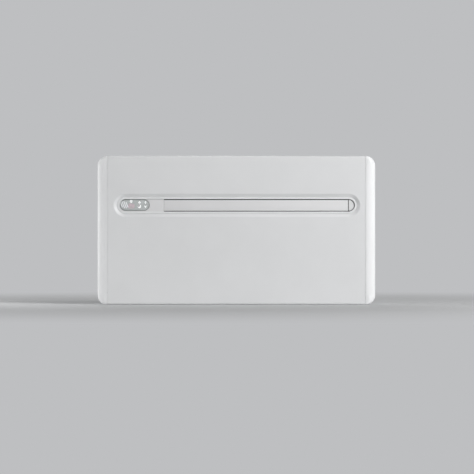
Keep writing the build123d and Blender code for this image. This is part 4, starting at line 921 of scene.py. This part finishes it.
frame_profile = rounded([(0.0, GRILLE_LOW, 0.3), (0.0, GRILLE_TOP, 0.7), (-4.5, GRILLE_TOP, 0.9),
                         (-4.5, 265.6, 0), (-2.0, 265.6, 0), (-2.0, GRILLE_LOW, 0.3)],
                        closed=True, steps=3)
for side, (x0, x1) in openings.items():
    x0, x1 = x0 + GRILLE_GAP, x1 - GRILLE_GAP
    d0, d1 = OPEN_D0 + GRILLE_GAP, OPEN_D1 - GRILLE_GAP
    grids = [ring(flat_loops(x0, x1, d0, d1, frame_profile))]
    for d in FIRST_BAR + BAR_PITCH * np.arange(BAR_COUNT):
        section = bar_section(d, BAR_W, GRILLE_TOP - 0.1, BAR_H)
        grids.append(carried(section, x0 + 3.0, x1 - 3.0, 0.1, 2))
    for web in range(1, 4):
        section = bar_section(x0 + 1.5 + WEB_PITCH * web, BAR_W, GRILLE_TOP - 0.2, BAR_H)
        points, faces = carried(section, d0 + 3.0, d1 - 3.0, 0.1, 2)
        grids.append((points[..., [1, 0, 2]], faces))
    piece("intake_grille_" + side, grids, white_abs, body="cassette_" + side, replaces=["grille_" + side])

# %% [markdown]
# ## Display
# A grey-green lens lies in the slot's round left end, with a darker border. Behind the real lens are
# lamps; here small printed shapes lie on it: a fan, a power mark, a moon, arrows, a hatched touch
# field, and two lit digits in soft red. They are flat outlines raised by a tenth of a millimetre.

# %% Lens
coat = {"Coat Weight": 0.35, "Coat Roughness": 0.08}
lens = grain(finish("tinted polycarbonate lens", "#C4C8C8", 0.2, **coat), 4.0, 0.002,
             "#C0C4C4", "#C8CCCC", 14.0)
border = grain(finish("dark tinted lens border", "#8B9190", 0.3), 1.0, 0.002,
               "#878D8C", "#8F9594", 20.0)
backlit = {"Emission Color": colour("#F4F6F6"), "Emission Strength": 0.4}
ink = grain(finish("white backlit mark", "#F4F6F6", 0.4, **backlit), 0.5, 0.002,
            "#F1F3F3", "#F7F8F8", 8.0)
silver_ink = grain(finish("silver printed hatching", "#F6F8FB", 0.35), 0.5, 0.002,
                   "#F2F5F8", "#F9FAFC", 6.0)
red_light = {"Emission Color": colour("#E37F8E"), "Emission Strength": 0.03}
glow = finish("soft red lit digits", "#DDCAD1", 0.4, **red_light)
# Painted glow: a pale red colour, with no light of its own, that stands in for the lit digits' light
# spreading in the lens.
painted_glow = grain(finish("faint red glow in the lens", "#CFC4C9", 0.25), 0.8, 0.001,
             "#CBC0C5", "#D2C8CC", 5.0)

LENS_D, BORDER_BACK, BORDER_FRONT, BORDER_SHELF = 159.25, 156.6, 159.4, 158.6
border_edge = rounded([(0.0, BORDER_BACK, 0), (0.0, BORDER_FRONT, 0.6), (-1.8, BORDER_FRONT, 0.3),
                       (-1.8, BORDER_SHELF, 0), (-4.0, BORDER_SHELF, 0), (-4.0, BORDER_BACK, 0)], steps=4)
piece("display_border", [ring(front_loops(*display_edge, border_edge))], border,
      replaces=["display_window"])
dish = rounded([(-1.9, 157.0, 0), (-1.9, LENS_D, 0.3), (-6.0, LENS_D, 0)], steps=4)
piece("display_lens", [capped(front_loops(*display_edge, dish))], lens)


# %% Printed marks
def outline(points):
    """A flat outline (x, height) around a middle point, raised off the lens."""
    points = np.asarray(points, float)
    loops = np.stack([np.insert(points, 1, LENS_D + rise, axis=1) for rise in (-0.05, 0.07, 0.1)])
    middle = points.mean(0)
    loops[2, :, 0::2] = middle + (points - middle) * 0.97
    return capped(loops)


def arc_points(radius, start, stop):
    """Points on an arc about the origin, angles in degrees."""
    a = np.radians(np.linspace(start, stop, 20))
    return np.stack([radius * np.cos(a), radius * np.sin(a)], axis=-1)


def bar(x0, z0, x1, z1, width):
    """A straight stroke between two points."""
    run = np.array([x1 - x0, z1 - z0], float)
    side = np.array([-run[1], run[0]]) / np.linalg.norm(run) * width / 2
    return np.array([(x0, z0) - side, (x1, z1) - side, (x1, z1) + side, (x0, z0) + side])


def moon(radius):
    """A crescent: an outer arc back along a shifted inner arc."""
    outer, inner = arc_points(radius, 65, 295), arc_points(radius * 0.9, 280, 80)
    return np.concatenate([outer, inner + (radius * 0.72, 0)])


def thick_arc(radius, width, start, stop):
    """A curved stroke."""
    return np.concatenate([arc_points(radius + width / 2, start, stop),
                           arc_points(radius - width / 2, stop, start)])


def turned(points, degrees):
    """Points turned about the origin."""
    a = math.radians(degrees)
    return np.asarray(points) @ np.array([[math.cos(a), math.sin(a)], [-math.sin(a), math.cos(a)]])


power_mark = [thick_arc(2.6, 2.6, 115, 425), bar(0, 0.0, 0, 5.2, 2.0)]
fan_mark = [turned(thick_arc(2.7, 4.2, -10, 105) + (0.6, 0.0), 120 * i) for i in range(3)]
up_mark = [np.array([(-1.7, -5.0), (1.7, -5.0), (1.7, 0.2), (4.2, 0.2), (0, 5.4), (-4.2, 0.2),
                     (-1.7, 0.2)])]
down_mark = [np.array([(-5.0, 3.6), (-2.0, 3.6), (0, 0.4), (2.0, 3.6), (5.0, 3.6), (0, -4.6)])]
marks = {"fan_mark": (fan_mark, (-382.3, 105.6)), "power_mark": (power_mark, (-352.2, 101.2)),
         "moon_mark": ([turned(moon(6.2), 135)], (-352.6, 87.0)), "up_mark": (up_mark, (-330.3, 101.2)),
         "down_mark": (down_mark, (-330.2, 86.0))}
for name, (shapes, place) in marks.items():
    piece(name, [outline(points + place) for points in shapes], ink)

# %% Digits and touch field
# The ends of each segment, in widths and half heights.
SEGMENTS = {"a": (0, 2, 1, 2), "b": (1, 1, 1, 2), "c": (1, 0, 1, 1), "d": (0, 0, 1, 0), "e": (0, 0, 0, 1),
            "f": (0, 1, 0, 2), "g": (0, 1, 1, 1)}


def digit(lit, x, z, width=7.4, height=14.6, stroke=2.0):
    """A seven-segment digit with the given segments lit, each a stroke with slanted ends."""
    shapes = []
    for key in lit:
        x0, z0, x1, z1 = SEGMENTS[key]
        a = np.array([x + x0 * width, z + z0 * height / 2])
        b = np.array([x + x1 * width, z + z1 * height / 2])
        run = (b - a) / np.linalg.norm(b - a)
        side = np.array([-run[1], run[0]]) * stroke / 2
        a, b, tip = a + run * 0.35, b - run * 0.35, run * stroke / 2
        corners = [a, a + tip - side, b - tip - side, b, b - tip + side, a + tip + side]
        shapes.append(outline(corners))
    return shapes


piece("lit_digits", digit("abged", -391.6, 81.2) + digit("bcfg", -379.8, 81.2), glow)
# The painted red glow round the digits, a thin patch laid on the lens.
painted_glow_edge = round_ended(-382.0, 88.5, 25.0, 19.6, 8, 10)
field = rounded([(0.0, LENS_D - 0.05, 0), (0.0, LENS_D + 0.03, 0), (-0.6, LENS_D + 0.03, 0)], steps=1)
piece("digit_painted_glow", [capped(front_loops(*painted_glow_edge, field))], painted_glow)
hatch = []
# Four slanted strokes fill an ellipse.
for middle in np.linspace(-10.2, 10.2, 4):
    half = 12.8 * math.sqrt(1 - (middle / 15.5) ** 2)
    stroke = bar(middle - 0.4 * half, half, middle + 0.4 * half, -half, 3.9)
    hatch.append(outline(stroke + (-407.6, 93.0)))
piece("touch_field", hatch, silver_ink)

# %% [markdown]
# ## Sizes
# The dressed part should fill the solids' box. Both boxes are written down here.

# %% Sizes and finish
low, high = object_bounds()
print("cad", [round(v, 4) for v in (*cad_low, *cad_high)], "visual", [round(v, 4) for v in (*low, *high)])
